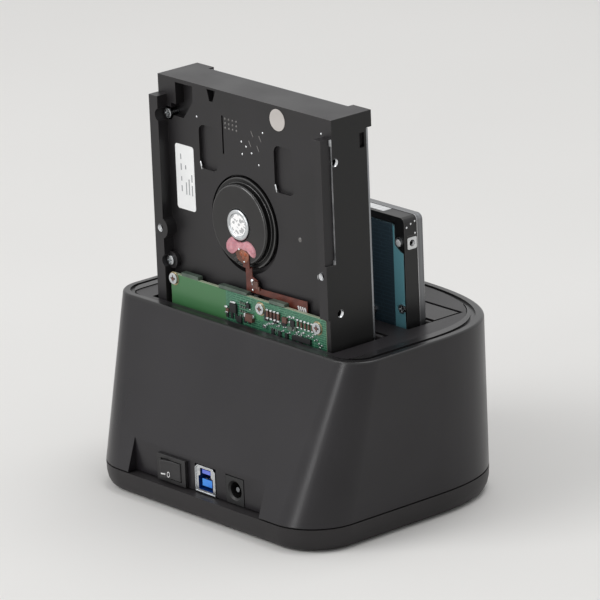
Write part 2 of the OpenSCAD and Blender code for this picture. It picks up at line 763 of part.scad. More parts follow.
module large_drive_base() {
  color("#3a3938")
    at_large() rod_y(arm_post_r, arm_x, arm_z, -22, -11);
  color("#3a3938")
    at_large()
      difference() {
        union() {
          span([-lw, -cover_q, 0], [lw, -floor_q, large_l]);
          // Rails along both sides
          span([lw - rail_w, -floor_q - 1, 0], [lw, 0, rail_top]);
          span([-lw + 0.9, -floor_q - 1, 88], [-lw + rail_w, 0, rail_top]);
          span([-lw, -floor_q - 1, 68.5], [-lw + rail_w, 0, 90]);
          span([-lw, -floor_q - 1, 0], [-lw + 2, -0.8, 69]);
          // Bosses round the fixing holes in the rails
          rod_y(4.4, lw - 3.2, 85.7, -floor_q - 1, 0);
          rod_y(3.4, lw - 5.9, board_high + 4.5, -floor_q - 1, -2.8);
          // Lugs at the corners of the far end
          for (x = [-lw, lw - 10]) span([x, -large_t, large_l - 6.6], [x + 10, -cover_q + 1, large_l]);
          // Step round the plug
          span([connector_x - 22, -8.2, 0], [connector_x + 22, -floor_q, 10]);
        }
        // Cut the side wall clear beside the bosses
        span([lw, -10, 60], [lw + 5, 5, 120]);
        // Room for the discs and the arm
        rod_y(disc_r + 3.8, motor_x, motor_z, -cover_q - 1, -11.5);
        span([-lw + 6.8, -cover_q - 1, arm_z - 32], [30, -11.5, motor_z - 15]);
        // Pocket and small marks on the floor
        corner_pocket(4.4);
        along_y(-floor_q - 3, -floor_q + 1)
          polygon([[21.6, large_l - 0.9], [16.4, large_l - 0.9], [18.2, large_l - 5.6],
                   [20.2, large_l - 5.6]]);
        face_plate(16.6, 27.4, large_l - 33.8, large_l - 16, 3, -floor_q - 1.5, -floor_q + 1);
        face_plate(-28, -16.8, large_l - 34.8, large_l - 16, 3, -floor_q - 1.5, -floor_q + 1);
        span([12.5, -floor_q - 0.8, large_l - 25.5], [13.4, -floor_q + 1, large_l - 10]);
        // Well round the motor
        rod_y(cup_r + 5.2, motor_x, motor_z, -floor_q - 2.2, -floor_q + 1);
        // Room for the plug
        span([connector_x - 20.5, -7.6, -1], [connector_x + 20.5, 1, 9]);
        // Side holes and rail holes for the drive's own fixing screws
        for (s = [-1, 1], z = [28.5, 70.1, large_l - 16.9])
          translate([s * (lw + 0.01), -6.35, z]) rotate([0, -s * 90, 0]) cylinder(r = 1.6, h = 4);
        for (s = [-1, 1], z = [41.3, 85.7]) rod_y(1.6, s * (lw - 3.2), z, -4.5, 1);
        // Room for the heads of the two upper screws
        rod_y(2.7, large_screw_spots[0][0], large_screw_spots[0][1], large_screw_spots[0][2], 1);
        rod_y(2.5, large_screw_spots[1][0], large_screw_spots[1][1], large_screw_spots[1][2], 1);
        // Notch in the side wall near the cover
        span([-lw - 1, -21.6, large_l - 14], [-lw + 1.6, -19, large_l - 8]);
        for (p = large_screw_spots) rod_y(1.15, p[0], p[1], p[2] - 4, 1);
        for (p = large_cover_spots) rod_y(1.15, p[0], p[1], -cover_q - 1, -cover_q + 5);
      }
}

large_screw_spots = [
  [lw - 5.9, large_l - 14.9, -9.4], [lw - 5.9, board_high + 4.5, -2.8],
  [-lw + 8.2, board_high + 15.1, -floor_q],
  [lw - 9.2, board_high - 2, -2.6], [-10, board_high - 3.5, -floor_q], [-lw + 7.6, board_high - 4.1, -floor_q]
];
cover_x = lw - 4;
large_cover_spots = [
  [cover_x, large_l - 9], [-cover_x, large_l - 9], [cover_x, large_l / 2 - 3.5],
  [-cover_x, large_l / 2 - 3.5], [cover_x, 8], [-cover_x, 8]
];

module large_drive_cover() {
  color("#46464a")
    at_large()
      difference() {
        union() {
          span([-lw + 0.4, -cover_q - 1.2, 0.4], [lw - 0.4, -cover_q, large_l - 7]);
          span([-lw + 10.6, -cover_q - 1.2, large_l - 7.2], [lw - 10.6, -cover_q, large_l - 0.4]);
          rod_y(30, motor_x, motor_z, -cover_q - 1.5, -cover_q - 1);
        }
        for (p = large_cover_spots) rod_y(1.3, p[0], p[1], -cover_q - 2, -cover_q + 1);
        rod_y(6, motor_x, motor_z, -cover_q - 2, -cover_q - 1.2);
      }
}

module large_drive_cover_screws() {
  color("#8d9094")
    at_large()
      for (p = large_cover_spots)
        translate([p[0], -cover_q - 1.2, p[1]]) rotate([90, 0, 0]) screw(2.1, 1, 1.1, 5);
}

module large_drive_board() {
  color("#2f6a4a")
    at_large()
      difference() {
        face_plate(-lw + 2.6, lw - 7.2, 1.5, board_high, 0.8, -2.6, -1);
        span([connector_x - 22.5, -3, 0], [connector_x + 22.5, 0, 9]);
        for (p = [large_screw_spots[3], large_screw_spots[4], large_screw_spots[5]])
          rod_y(1.5, p[0], p[1], -3, 0);
        rod_y(1.7, -lw + 3.2, 41.3, -3, 0);
      }
}

module large_drive_chips() {
  color("#2a2a2c")
    at_large() {
      span([-14, -1, 30], [0, -0.2, 44]);
      span([-36, -1, 34], [-26, -0.1, 50]);
      span([10, -1, 16], [24, -0.2, 26]);
      span([-38, -1, 16], [-30, -0.1, 24]);
      for (i = [0 : 3]) span([-30 + 5 * i, -1, board_high - 7.5], [-27.6 + 5 * i, -0.4, board_high - 4]);
      for (i = [0 : 4]) span([-34 + 4 * i, -1, board_high - 13], [-32.4 + 4 * i, -0.3, board_high - 10]);
      for (i = [0 : 5]) span([-4 + 2.6 * i, -1, board_high - 11], [-2.6 + 2.6 * i, -0.5, board_high - 8.6]);
      for (x = [-18, -6.6, -2.8]) span([x, -3.7, board_high - 2.8], [x + 2.4, -2.6, board_high + 0.6]);
      for (x = [3.4, 7.8]) span([x, -3.4, board_high - 2.8], [x + 2.4, -2.6, board_high + 0.6]);
      // Pins at the back of the plug
      span([14, -4.9, board_high - 28], [30, -2.6, board_high - 12]);
    }
}

module drive_plug(depth) {
  difference() {
    span([connector_x - 20.2, connector_base, 0.3], [connector_x + 20.2, connector_base + depth, 8.8]);
    span([connector_x - 19, connector_base + 1, -1], [connector_x + 19, connector_base + depth - 1, 6.4]);
  }
  // Tongues with their end keys
  span([connector_x - 16.7, -connector_q - 0.55, 0.6], [connector_x + 3.9, -connector_q + 0.55, 6.6]);
  span([connector_x + 6.5, -connector_q - 0.55, 0.6], [connector_x + 16.7, -connector_q + 0.55, 6.6]);
  span([connector_x - 16.7, -connector_q - 1.4, 0.6], [connector_x - 15.6, -connector_q + 0.55, 6.6]);
  span([connector_x + 15.6, -connector_q - 1.4, 0.6], [connector_x + 16.7, -connector_q + 0.55, 6.6]);
}
connector_base = -7.2;
module large_drive_plug() {
  color("#151516") at_large() drive_plug(7.2);
}

// The motor's cup stands above the casting's floor on a flange in its well
module large_drive_motor() {
  color("#2c2b2b")
    at_large()
      difference() {
        translate([motor_x, 0, motor_z])
          rotate([90, 0, 0])
            rotate_extrude($fn = 72)
              polygon([
                [0, cup_q], [cup_r, cup_q], [cup_r + 0.6, cup_q + 0.6], [cup_r + 0.6, floor_q + 0.3],
                [cup_r + 2.5, floor_q + 0.3], [cup_r + 2.9, floor_q + 0.7], [cup_r + 2.9, floor_q + 2.2],
                [0, floor_q + 2.2]]);
        rod_y(6.5, motor_x, motor_z, -cup_q - 0.6, -cup_q + 1);
      }
}
module large_drive_hub() {
  color("#d4d6d8")
    at_large()
      translate([motor_x, -cup_q - 0.6, motor_z])
        rotate([-90, 0, 0])
          rotate_extrude($fn = 56)
            polygon([[0, 0], [6.2, 0], [6.2, 1], [5.8, 1.3], [4.9, 1.3], [4.5, 0.8], [0, 0.8]]);
}

// Flat cable: a tail on the cup, a drop beside the cup and a strip along the board's edge
flex_from = motor_x - 5.8;
flex_to = motor_x - 2;
flex_z = motor_z - cup_r - 0.9;
module large_drive_flex() {
  color("#6e3a30")
    at_large() {
      span([flex_from, -cup_q, flex_z], [flex_to, -cup_q + 0.3, motor_z - 9]);
      span([flex_from, -floor_q + 1.2, flex_z], [flex_to, -cup_q + 0.3, flex_z + 0.3]);
      along_y(-floor_q + 1.2, -floor_q + 1.5)
        polygon([
          [flex_to, flex_z + 0.3], [flex_to, board_high + 1], [-19, board_high + 1], [-20, board_high - 0.6],
          [-34.8, board_high - 0.6], [-34.8, board_high + 4],
          [-6, board_high + 3.4], [-6, board_high + 6.4], [flex_from, board_high + 7.4],
          [flex_from, flex_z + 0.3]]);
    }
}

module large_drive_glue() {
  color("#c98f96")
    at_large()
      translate([motor_x, -cup_q, motor_z])
        difference() {
          for (g = [
            [6.1, -9.3, 3], [3.4, -8.5, 2.5], [0.4, -9.7, 3.1], [-3.4, -8.9, 2.9], [-6, -10.2, 2.2],
            [-7.6, -12.2, 1.5], [4.6, -11.4, 2.2]])
            translate([g[0], 0, g[1]]) rotate([-90, 0, 0]) cylinder(r = g[2], h = 1.3, $fn = 28);
          span([flex_from - motor_x, -1, -20], [flex_to - motor_x, 0.3, -9]);
        }
}

module large_drive_label() {
  color("#e9e9e6")
    at_large()
      face_plate(lw - 19.8, lw - 8.8, large_l - 52.8, large_l - 26.4, 1.2, -floor_q, -floor_q + 0.15);
}
module large_drive_seal() {
  color("#d6d3cc")
    at_large() rod_y(4.35, -19.9, large_l - 5.6, -floor_q, -floor_q + 0.2);
}

module large_drive_screws() {
  color("#cfd1d3")
    at_large()
      for (p = large_screw_spots)
        let (on_board = p[1] < board_high, h = on_board ? -1 : p[2])
          translate([p[0], h, p[1]])
            rotate([-90, 0, 0])
              screw(on_board ? 2.3 : 2, 0.9, 1.1, h - p[2] + 3.6);
}

// Inside the large drive
module large_drive_platters() {
  color("#d9dbdd")
    at_large()
      translate([motor_x, 0, motor_z])
        rotate([90, 0, 0])
          rotate_extrude($fn = 96)
            polygon([
              [0, 11.8], [14, 11.8], [14, 13.6], [disc_r, 13.6], [disc_r, 14.5], [14, 14.5], [14, 18],
              [disc_r, 18], [disc_r, 18.9], [14, 18.9], [14, 21], [0, 21]]);
}
// Head arm on its pivot: the arm turned to the given angle, the coil at its tail
module head_arm(x, z, angle, reach, hub_r, post_r, y0, y1, blade0, blade1) {
  difference() {
    union() {
      rod_y(hub_r, x, z, y0, y1);
      translate([x, 0, z])
        along_y(blade0, blade1)
          rotate(angle - 90) {
            polygon([[-hub_r * 0.8, 0], [hub_r * 0.8, 0], [hub_r * 0.2, reach], [-hub_r * 0.2, reach]]);
            polygon([[-hub_r * 0.7, 0], [hub_r * 0.7, 0], [hub_r * 1.1, -reach * 0.38],
                     [-hub_r * 1.1, -reach * 0.38]]);
          }
    }
    rod_y(post_r + 0.2, x, z, y0 - 1, y1 + 1);
  }
}
module large_drive_arm() {
  color("#b6b9bd")
    at_large()
      head_arm(arm_x, arm_z, 97.7, arm_reach, 7, arm_post_r, -20.6, -12, -17.2, -15.3);
}
module large_drive_magnets() {
  color("#8b8e92")
    at_large() {
      span([arm_x - 12, -14.2, arm_z - 22], [arm_x + 12, -11.5, arm_z - 12]);
      span([arm_x - 12, -21.5, arm_z - 22], [arm_x + 12, -18.4, arm_z - 12]);
      for (x = [-16, 12]) span([arm_x + x, -21.5, arm_z - 22], [arm_x + x + 3, -11.5, arm_z - 12]);
    }
}

// Small drive, drawn with its board side at y = 0 and its plug end at z = 0, middle at x = 0

sw = small_w / 2;
small_plug_x = connector_x + lw - sw;
lid_q = small_t - 3;
lid_t = 0.7;

small_cover_spots = [
  [sw - 3.4, small_l - 5.2], [3.4 - sw, small_l - 5.2], [sw - 3.4, 4], [3.4 - sw, 4], [sw - 2.6, 38],
  [2.6 - sw, 38]
];
small_board_spots = [
  [3.2 - sw, small_l - 10.1], [2.7 - sw, 63.2], [-15.5, 59.6], [sw - 3.2, small_l - 10.1], [sw - 6.9, 20]
];
small_hole_z = [14, small_l - 10.6];
small_arm_x = 20;
small_arm_z = 24;
small_arm_hub_r = 4.6;
small_post_r = 1.4;
small_disc_x = 0.2;
small_disc_z = small_l - 38.2;
// From the pivot of the arm to the middle of the disc
small_arm_away = norm([small_disc_x - small_arm_x, small_disc_z - small_arm_z]);
small_disc_r = min(sw - 2.4, small_l - small_disc_z - 4, small_arm_away - small_arm_hub_r - 1);
// The arm reaches three quarters of that way, and its tip rests just inside the rim of the disc
small_arm_reach = 0.747 * small_arm_away;
small_tip_r = small_disc_r - 3;
small_arm_turn = acos((small_arm_away ^ 2 + small_arm_reach ^ 2 - small_tip_r ^ 2)
                      / (2 * small_arm_away * small_arm_reach));
small_arm_angle = atan2(small_disc_z - small_arm_z, small_disc_x - small_arm_x) - small_arm_turn;

module small_drive_base() {
  color("#262627") at_small() rod_y(small_post_r, small_arm_x, small_arm_z, -8.5, -3);
  color("#262627")
    at_small()
      difference() {
        union() {
          face_plate(-sw + lid_t, sw - lid_t, 0.5, small_l - lid_t, 1.7, -small_t + 0.9, -2);
          face_plate(-sw + 0.2, sw - 0.2, 0, small_l - 0.2, 2.2, -lid_q, 0);
          // Pads round the side holes
          for (s = [-1, 1], z = small_hole_z)
            span([s * (sw - 1), -6.2, z - 3], [s * sw, -1.3, z + 3]);
        }
        // Recess for the board, narrower beside its two notches
        along_y(-1, 1)
          polygon([
            [0.9 - sw, -1], [sw - 0.9, -1], [sw - 0.9, small_l - 14.7], [sw - 5.6, small_l - 11.8],
            [sw - 5.6, small_l - 2.9], [5.6 - sw, small_l - 2.9], [5.6 - sw, small_l - 11.8],
            [0.9 - sw, small_l - 14.7]]);
        rod_y(small_disc_r + 0.6, small_disc_x, small_disc_z, -small_t, -3.2);
        span([-22, -small_t, 10], [30, -3.2, small_disc_z - 16]);
        for (s = [-1, 1], z = small_hole_z)
          translate([s * (sw + 0.01), -3.75, z]) rotate([0, -s * 90, 0]) cylinder(r = 1.3, h = 3);
        span([small_plug_x - 20.5, -7.2, -1], [small_plug_x + 20.5, 1, 9.1]);
        for (p = small_cover_spots) rod_y(0.95, p[0], p[1], -small_t, -small_t + 3.4);
        for (p = small_board_spots) rod_y(1, p[0], p[1], -2.4, 1);
      }
}

// The lid is a shallow pan that wraps round the casting's edge
module small_drive_cover() {
  color("#bfc1c3")
    at_small()
      difference() {
        face_plate(-sw, sw, 0.2, small_l, 2.4, -small_t, -lid_q);
        face_plate(-sw + lid_t, sw - lid_t, -10, small_l - lid_t, 1.7, -small_t + 0.9, 0);
        for (p = small_cover_spots) rod_y(1.75, p[0], p[1], -small_t - 1, 1);
      }
}

module small_drive_board() {
  color("#2a5f68")
    at_small()
      difference() {
        union() {
          face_plate(-sw + 1.2, sw - 1.2, 9.4, small_l - 14.2, 0.6, -0.9, -0.1);
          face_plate(-sw + 6, sw - 6, 9.4, small_l - 3.6, 1.8, -0.9, -0.1);
          along_y(-0.9, -0.1)
            polygon([
              [1.2 - sw, small_l - 15], [sw - 1.2, small_l - 15], [sw - 6, small_l - 12],
              [6 - sw, small_l - 12]]);
        }
        for (p = small_board_spots) rod_y(1.3, p[0], p[1], -2, 1);
      }
}

module small_drive_screws() {
  color("#b5b8bb")
    at_small() {
      for (p = small_board_spots)
        let (h = p[1] > small_l - 15 ? 0 : -0.1)
          translate([p[0], h, p[1]]) rotate([-90, 0, 0]) screw(1.9, 0.6, 1, 2.2);
      for (p = small_cover_spots)
        translate([p[0], -small_t + 0.9, p[1]]) rotate([90, 0, 0]) screw(1.65, 0.8, 0.95, 2.4);
    }
}

module small_drive_plug() {
  color("#151516")
    translate([0, small_y, seat_z])
      difference() {
        drive_plug(6.9);
        span([connector_x - 30, -0.3, -1], [connector_x + 50, 1, 12]);
      }
}

module small_drive_platter() {
  color("#d9dbdd")
    at_small()
      translate([small_disc_x, 0, small_disc_z])
        rotate([90, 0, 0])
          rotate_extrude($fn = 96)
            polygon([[0, 3.6], [10, 3.6], [10, 5.2], [small_disc_r, 5.2], [small_disc_r, 5.9], [10, 5.9],
                     [10, 8], [0, 8]]);
}
module small_drive_arm() {
  color("#b6b9bd")
    at_small()
      head_arm(small_arm_x, small_arm_z, small_arm_angle, small_arm_reach, small_arm_hub_r, small_post_r,
               -8.2, -3.6, -7.4, -6.4);
}

upper_shell();
base_plate();
rubber_feet();
bay_frame();
large_door_pins();
large_door_springs();
main_board();
bridge_chip();
board_capacitors();
board_inductors();
board_chips();
rear_receptacle();
front_receptacle();
receptacle_contacts();
usb_shell();
usb_insulator();
usb_contacts();
jack_housing();
jack_pin();
jack_spring();
switch_frame();
switch_terminals();
rocker();
board_screws();
housing_screws();
frame_screws();
light_pipe();
status_led();
rear_large_door();
rear_small_door();
rear_small_pin();
rear_small_spring();
front_large_door();
front_small_door();
front_small_pin();
front_small_spring();
large_drive_base();
large_drive_cover();
large_drive_board();
large_drive_chips();
large_drive_plug();
large_drive_motor();
large_drive_hub();
large_drive_flex();
large_drive_glue();
large_drive_label();
large_drive_seal();
large_drive_screws();
large_drive_cover_screws();
large_drive_platters();
large_drive_arm();
large_drive_magnets();
small_drive_base();
small_drive_cover();
small_drive_board();
small_drive_screws();
small_drive_plug();
small_drive_platter();
small_drive_arm();
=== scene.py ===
# %% [markdown]
# # A docking station for bare hard drives
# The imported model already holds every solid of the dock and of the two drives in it. This notebook
# dresses that fixed frame: it rounds the edges that catch the light, gives each piece its finish, and
# adds the small things a modeller would draw last, such as solder, print marks and cured glue.
# The frame counts in metres, and the small things are drawn in millimetres. The camera stands
# where the photographer stood.

# %% Load the fixed frame
import json
import math

import bmesh
import bpy
import numpy as np
from mathutils import Matrix, Vector

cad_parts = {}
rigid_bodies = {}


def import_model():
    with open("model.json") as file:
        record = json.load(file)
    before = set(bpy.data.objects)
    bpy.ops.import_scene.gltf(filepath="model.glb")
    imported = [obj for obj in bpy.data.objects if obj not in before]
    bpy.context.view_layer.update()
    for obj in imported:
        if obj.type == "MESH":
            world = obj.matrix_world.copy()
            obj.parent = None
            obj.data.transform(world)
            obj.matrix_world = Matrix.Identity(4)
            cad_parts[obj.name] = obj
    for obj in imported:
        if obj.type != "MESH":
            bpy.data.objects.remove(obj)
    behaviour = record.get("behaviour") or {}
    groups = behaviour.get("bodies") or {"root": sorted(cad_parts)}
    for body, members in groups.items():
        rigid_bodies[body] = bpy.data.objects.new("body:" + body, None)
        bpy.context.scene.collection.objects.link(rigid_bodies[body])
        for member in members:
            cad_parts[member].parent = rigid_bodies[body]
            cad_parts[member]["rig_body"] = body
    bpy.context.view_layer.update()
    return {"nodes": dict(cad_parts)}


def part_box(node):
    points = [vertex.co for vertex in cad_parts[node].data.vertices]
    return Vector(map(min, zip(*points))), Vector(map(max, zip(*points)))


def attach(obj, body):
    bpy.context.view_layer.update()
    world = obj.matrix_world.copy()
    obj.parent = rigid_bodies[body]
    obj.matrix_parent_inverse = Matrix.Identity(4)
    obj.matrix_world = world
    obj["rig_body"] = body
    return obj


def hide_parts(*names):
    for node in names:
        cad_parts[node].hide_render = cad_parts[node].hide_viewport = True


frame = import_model()
NODES = frame["nodes"]
MM = 0.001
print("nodes in the frame:", len(NODES))

# %% [markdown]
# ## Camera
# A long lens seen from a corner keeps the upright edges nearly parallel, as in a product
# photograph. The angles were found by matching the corners and holes of the large drive, whose
# size is a standard, to their places in the picture. A camera matrix has the picture's right, its up
# and the way back to the viewer as its three columns, so those are worked out first.

# %% Camera
AZIMUTH = math.radians(229.29)
ELEVATION = math.radians(17.82)
ROLL = math.radians(-2.34)
FOCAL_PIXELS = 5722.24
PICTURE_PIXELS = 600
SENSOR_MM = 36
CAMERA_PLACE = Vector((-1615.19, 1390.97, 761.39)) * MM


def camera_axes(azimuth, elevation, roll):
    """Right, up and back: back points from the object to the camera, right lies level before the roll."""
    back = Vector((math.sin(azimuth) * math.cos(elevation),
                   -math.cos(azimuth) * math.cos(elevation),
                   math.sin(elevation)))
    level = Vector((math.cos(azimuth), math.sin(azimuth), 0))
    over = back.cross(level)
    right = level * math.cos(roll) + over * math.sin(roll)
    up = over * math.cos(roll) - level * math.sin(roll)
    return right, up, back


def stood(name, data):
    """A new object of the scene from its mesh, lamp or camera."""
    made = bpy.data.objects.new(name, data)
    bpy.context.scene.collection.objects.link(made)
    return made


camera = stood("camera", bpy.data.cameras.new("camera"))
axes = camera_axes(AZIMUTH, ELEVATION, ROLL)
camera.matrix_world = Matrix.Translation(CAMERA_PLACE) @ Matrix(axes).transposed().to_4x4()
camera.data.sensor_width = SENSOR_MM
camera.data.lens = FOCAL_PIXELS / PICTURE_PIXELS * SENSOR_MM
camera.data.clip_end = 30
bpy.context.scene.camera = camera
print("lens in mm:", round(camera.data.lens, 1))

# %% [markdown]
# ## Node and colour helpers
# A material is a small graph. One function adds a node with its settings and its links, so that
# each recipe below reads from the texture coordinates down to the shader. Colours are written as
# sRGB hex, as a paint card would give them, and turned to the linear values that a shader needs.

# %% Node and colour helpers
def linear(hex_colour):
    """sRGB to linear light: c / 12.92 for the darkest, otherwise ((c + 0.055) / 1.055) to the power 2.4."""
    parts = np.array([int(hex_colour[i:i + 2], 16) / 255 for i in (1, 3, 5)])
    light = np.where(parts < 0.04045, parts / 12.92, ((parts + 0.055) / 1.055) ** 2.4)
    return (*[float(c) for c in light], 1.0)


def add(tree, kind, inputs=None, **settings):
    """One node: its properties from settings, and each input given a value or the socket it is fed from."""
    made = tree.nodes.new("ShaderNode" + kind)
    for name, value in settings.items():
        setattr(made, name, value)
    for name, value in (inputs or {}).items():
        socket = made.inputs[name]
        if isinstance(value, bpy.types.NodeSocket):
            tree.links.new(value, socket)
        else:
            socket.default_value = value
    return made


def finish_with(name, shader_values):
    """A material, its tree, its one Principled shader with plain values set, and the object's space."""
    made = bpy.data.materials.new(name)
    made.use_nodes = True
    tree = made.node_tree
    shader = tree.nodes["Principled BSDF"]
    for socket, value in shader_values.items():
        shader.inputs[socket].default_value = value
    return made, tree, shader, add(tree, "TexCoord").outputs["Object"]


print("black and white in linear light:", linear("#000000")[0], linear("#ffffff")[0])

# %% [markdown]
# ## Wear and relief
# No real surface has one colour, one sheen and no relief. A slow noise shifts the colour and the
# sheen together, because handled places are both paler and glossier, and a fine one raises the grain.

# %% Wear and relief
def per_metre(size_mm):
    """The scale of a texture whose features are to be size_mm wide: the number of them in a metre."""
    return 1000 / size_mm


def mottled(tree, shader, place, light_hex, dark_hex, patch_mm, rough_range):
    """Colour and roughness that drift between two values in patches, as handled surfaces do."""
    patches = add(tree, "TexNoise", {"Vector": place, "Scale": per_metre(patch_mm), "Detail": 3.0})
    tint = add(tree, "ValToRGB", {"Fac": patches.outputs["Fac"]})
    tint.color_ramp.elements[0].position = 0.35
    tint.color_ramp.elements[0].color = linear(dark_hex)
    tint.color_ramp.elements[1].position = 0.65
    tint.color_ramp.elements[1].color = linear(light_hex)
    tree.links.new(tint.outputs["Color"], shader.inputs["Base Color"])
    wear = add(tree, "MapRange", {"Value": patches.outputs["Fac"], "From Min": 0.3, "From Max": 0.7,
                                  "To Min": rough_range[0], "To Max": rough_range[1]})
    tree.links.new(wear.outputs["Result"], shader.inputs["Roughness"])


def pitted(tree, shader, place, size_mm, depth_mm):
    """A fine relief from noise whose grains are size_mm across and depth_mm deep."""
    grain = add(tree, "TexNoise", {"Vector": place, "Scale": per_metre(size_mm), "Detail": 2.0})
    relief = add(tree, "Bump", {"Height": grain.outputs["Fac"], "Distance": depth_mm * MM})
    tree.links.new(relief.outputs["Normal"], shader.inputs["Normal"])


def repaint(tree, shader, share, hex_colour):
    """Another colour over the one that feeds the shader, where share is 1 and not where it is 0."""
    under = shader.inputs["Base Color"].links[0].from_socket
    over = add(tree, "Mix", {0: share, 6: under, 7: linear(hex_colour)}, data_type="RGBA")
    tree.links.new(over.outputs[2], shader.inputs["Base Color"])


def grained(name, shader_values, light_hex, dark_hex, patch_mm, rough_range, grain_mm, depth_mm):
    """A material whose colour and sheen drift in patches over a fine relief."""
    made, tree, shader, place = finish_with(name, shader_values)
    mottled(tree, shader, place, light_hex, dark_hex, patch_mm, rough_range)
    pitted(tree, shader, place, grain_mm, depth_mm)
    return made, tree, shader, place


print("features of 0.5 mm in a metre:", per_metre(0.5))

# %% [markdown]
# ## Moulded plastic
# The housing, its base, the bay frame and the doors are black ABS from steel moulds whose faces were
# spark-eroded, which leaves an even, very fine pitted grain and a soft sheen with no sharp mirror
# image. Real grain is about 0.1 mm, too fine to show at this distance, so it is drawn at 0.4 mm.

# %% Moulded plastic
RIM_SHADE_FROM_MM, RIM_SHADE_FULL_MM = 72.6, 73.9


def spark_eroded_abs(name, light_hex, dark_hex, grain_mm=0.4, rough=(0.44, 0.56), specular=0.32,
                     rim_shade_hex=None):
    """Black ABS with a spark-eroded grain, a drift of sheen, and a painted shade that darkens the rim."""
    made, tree, shader, place = grained(name, {"IOR": 1.5, "Specular IOR Level": specular},
                                        light_hex, dark_hex, 38, rough, grain_mm, 0.02)
    # Painted shade: from the rim's lower edge upward the colour turns darker.
    if rim_shade_hex:
        apart = add(tree, "SeparateXYZ", {"Vector": place})
        in_rim_shade = add(tree, "MapRange", {"Value": apart.outputs["Z"], "From Min": RIM_SHADE_FROM_MM * MM,
                                        "From Max": RIM_SHADE_FULL_MM * MM})
        repaint(tree, shader, in_rim_shade.outputs["Result"], rim_shade_hex)
    return made


def polished_plastic(name, light_hex, dark_hex, rough=(0.22, 0.32)):
    """Plastic from a polished mould: nearly smooth, with only faint flow marks."""
    return grained(name, {"IOR": 1.5, "Specular IOR Level": 0.45}, light_hex, dark_hex, 6, rough,
                   1.4, 0.004)[0]


housing_abs = spark_eroded_abs("abs_black_spark_eroded", "#201e21", "#1a181b", rough=(0.26, 0.34),
                               specular=0.38, rim_shade_hex="#1d1c1d")
# The rubbed edge is paler for wear and paler still as a painted highlight.
housing_edge_wear_and_highlight = spark_eroded_abs("abs_black_rubbed_edge_painted_highlight", "#353334", "#2c2a2b", rough=(0.26, 0.36))
base_abs = spark_eroded_abs("abs_black_base_tray", "#2a2829", "#232122", rough=(0.42, 0.52))
frame_abs = spark_eroded_abs("abs_black_bay_frame", "#252325", "#201e20", rough=(0.38, 0.48))
door_abs = spark_eroded_abs("abs_black_bay_door", "#302e2f", "#292728", rough=(0.36, 0.46))
switch_plastic = polished_plastic("nylon_black_switch_body", "#232223", "#1b1a1b", (0.34, 0.44))
rocker_plastic = polished_plastic("nylon_black_rocker", "#2a292a", "#222122", (0.4, 0.5))
jack_plastic = polished_plastic("nylon_black_jack", "#1e1e1f", "#171718", (0.4, 0.5))
plug_plastic = polished_plastic("glass_filled_nylon_black", "#1a1a1b", "#131314")
socket_blue = polished_plastic("nylon_blue_socket_insert", "#123f86", "#0b2d6c", (0.3, 0.42))
# Painted light: the tongues are the insert's blue nylon painted lighter, the upper one with a painted sheen.
tongue_blue_lit = polished_plastic("nylon_blue_tongue_painted_light", "#4a9cf6", "#3a86ea", (0.3, 0.42))
tongue_blue_sheen = polished_plastic("nylon_blue_tongue_painted_sheen", "#6f83e6", "#5f72d8", (0.3, 0.42))
ceramic_brown = polished_plastic("ceramic_brown_fired", "#6d4a40", "#4f342d", (0.4, 0.55))
ceramic_grey = polished_plastic("ceramic_grey_green_fired", "#5d6b60", "#46534a", (0.4, 0.55))
mark_ink = polished_plastic("ink_white_pad_print", "#e9e9e9", "#dadada", (0.5, 0.6))
faint_ink = polished_plastic("ink_grey_thermal_print", "#9a9c9f", "#85878a", (0.55, 0.65))
clear_pipe = polished_plastic("acrylic_clear_light_pipe", "#d8e8f0", "#c6dbe6", (0.1, 0.16))
feet_rubber = spark_eroded_abs("rubber_black_moulded_feet", "#1a1a1a", "#131313", 0.7, (0.8, 0.92), 0.3)
chip_resin = spark_eroded_abs("epoxy_black_chip_mould", "#28292a", "#1f2021", 0.25, (0.5, 0.62), 0.3)
print("plastic finishes ready")

# %% [markdown]
# ## Metal
# Cut, drawn and plated metals differ mostly in the direction and depth of their fine scratches.
# Stretching a noise along one axis gives brushed lines. The shader's own index stays as it is for
# metals, because colour alone sets how they reflect. Two pale finishes are painted highlights, one
# on a screw head and one along a ledge; they are only partly metal, so that they stay bright.

# %% Metal
def plain_metal(name, light_hex, dark_hex, rough=(0.25, 0.36), patch_mm=5, metal=1.0):
    """Plated or drawn metal with no visible direction, and a slightly uneven shine."""
    return grained(name, {"Metallic": metal}, light_hex, dark_hex, patch_mm, rough, 0.5, 0.004)[0]


def brushed_metal(name, light_hex, dark_hex, squeeze=(1, 20, 20), line_mm=0.5, rough=(0.28, 0.42)):
    """Metal brushed one way: noise squeezed across the lines, so that it runs long beside them."""
    made, tree, shader, place = finish_with(name, {"Metallic": 1.0})
    laid = add(tree, "Mapping", {"Vector": place, "Scale": tuple(a / 20 for a in squeeze)})
    mottled(tree, shader, laid.outputs["Vector"], light_hex, dark_hex, 2.4 * line_mm, rough)
    pitted(tree, shader, laid.outputs["Vector"], line_mm, 0.006)
    return made


zinc_steel = plain_metal("steel_zinc_plated", "#cfd2d4", "#b3b6b8", (0.2, 0.32))
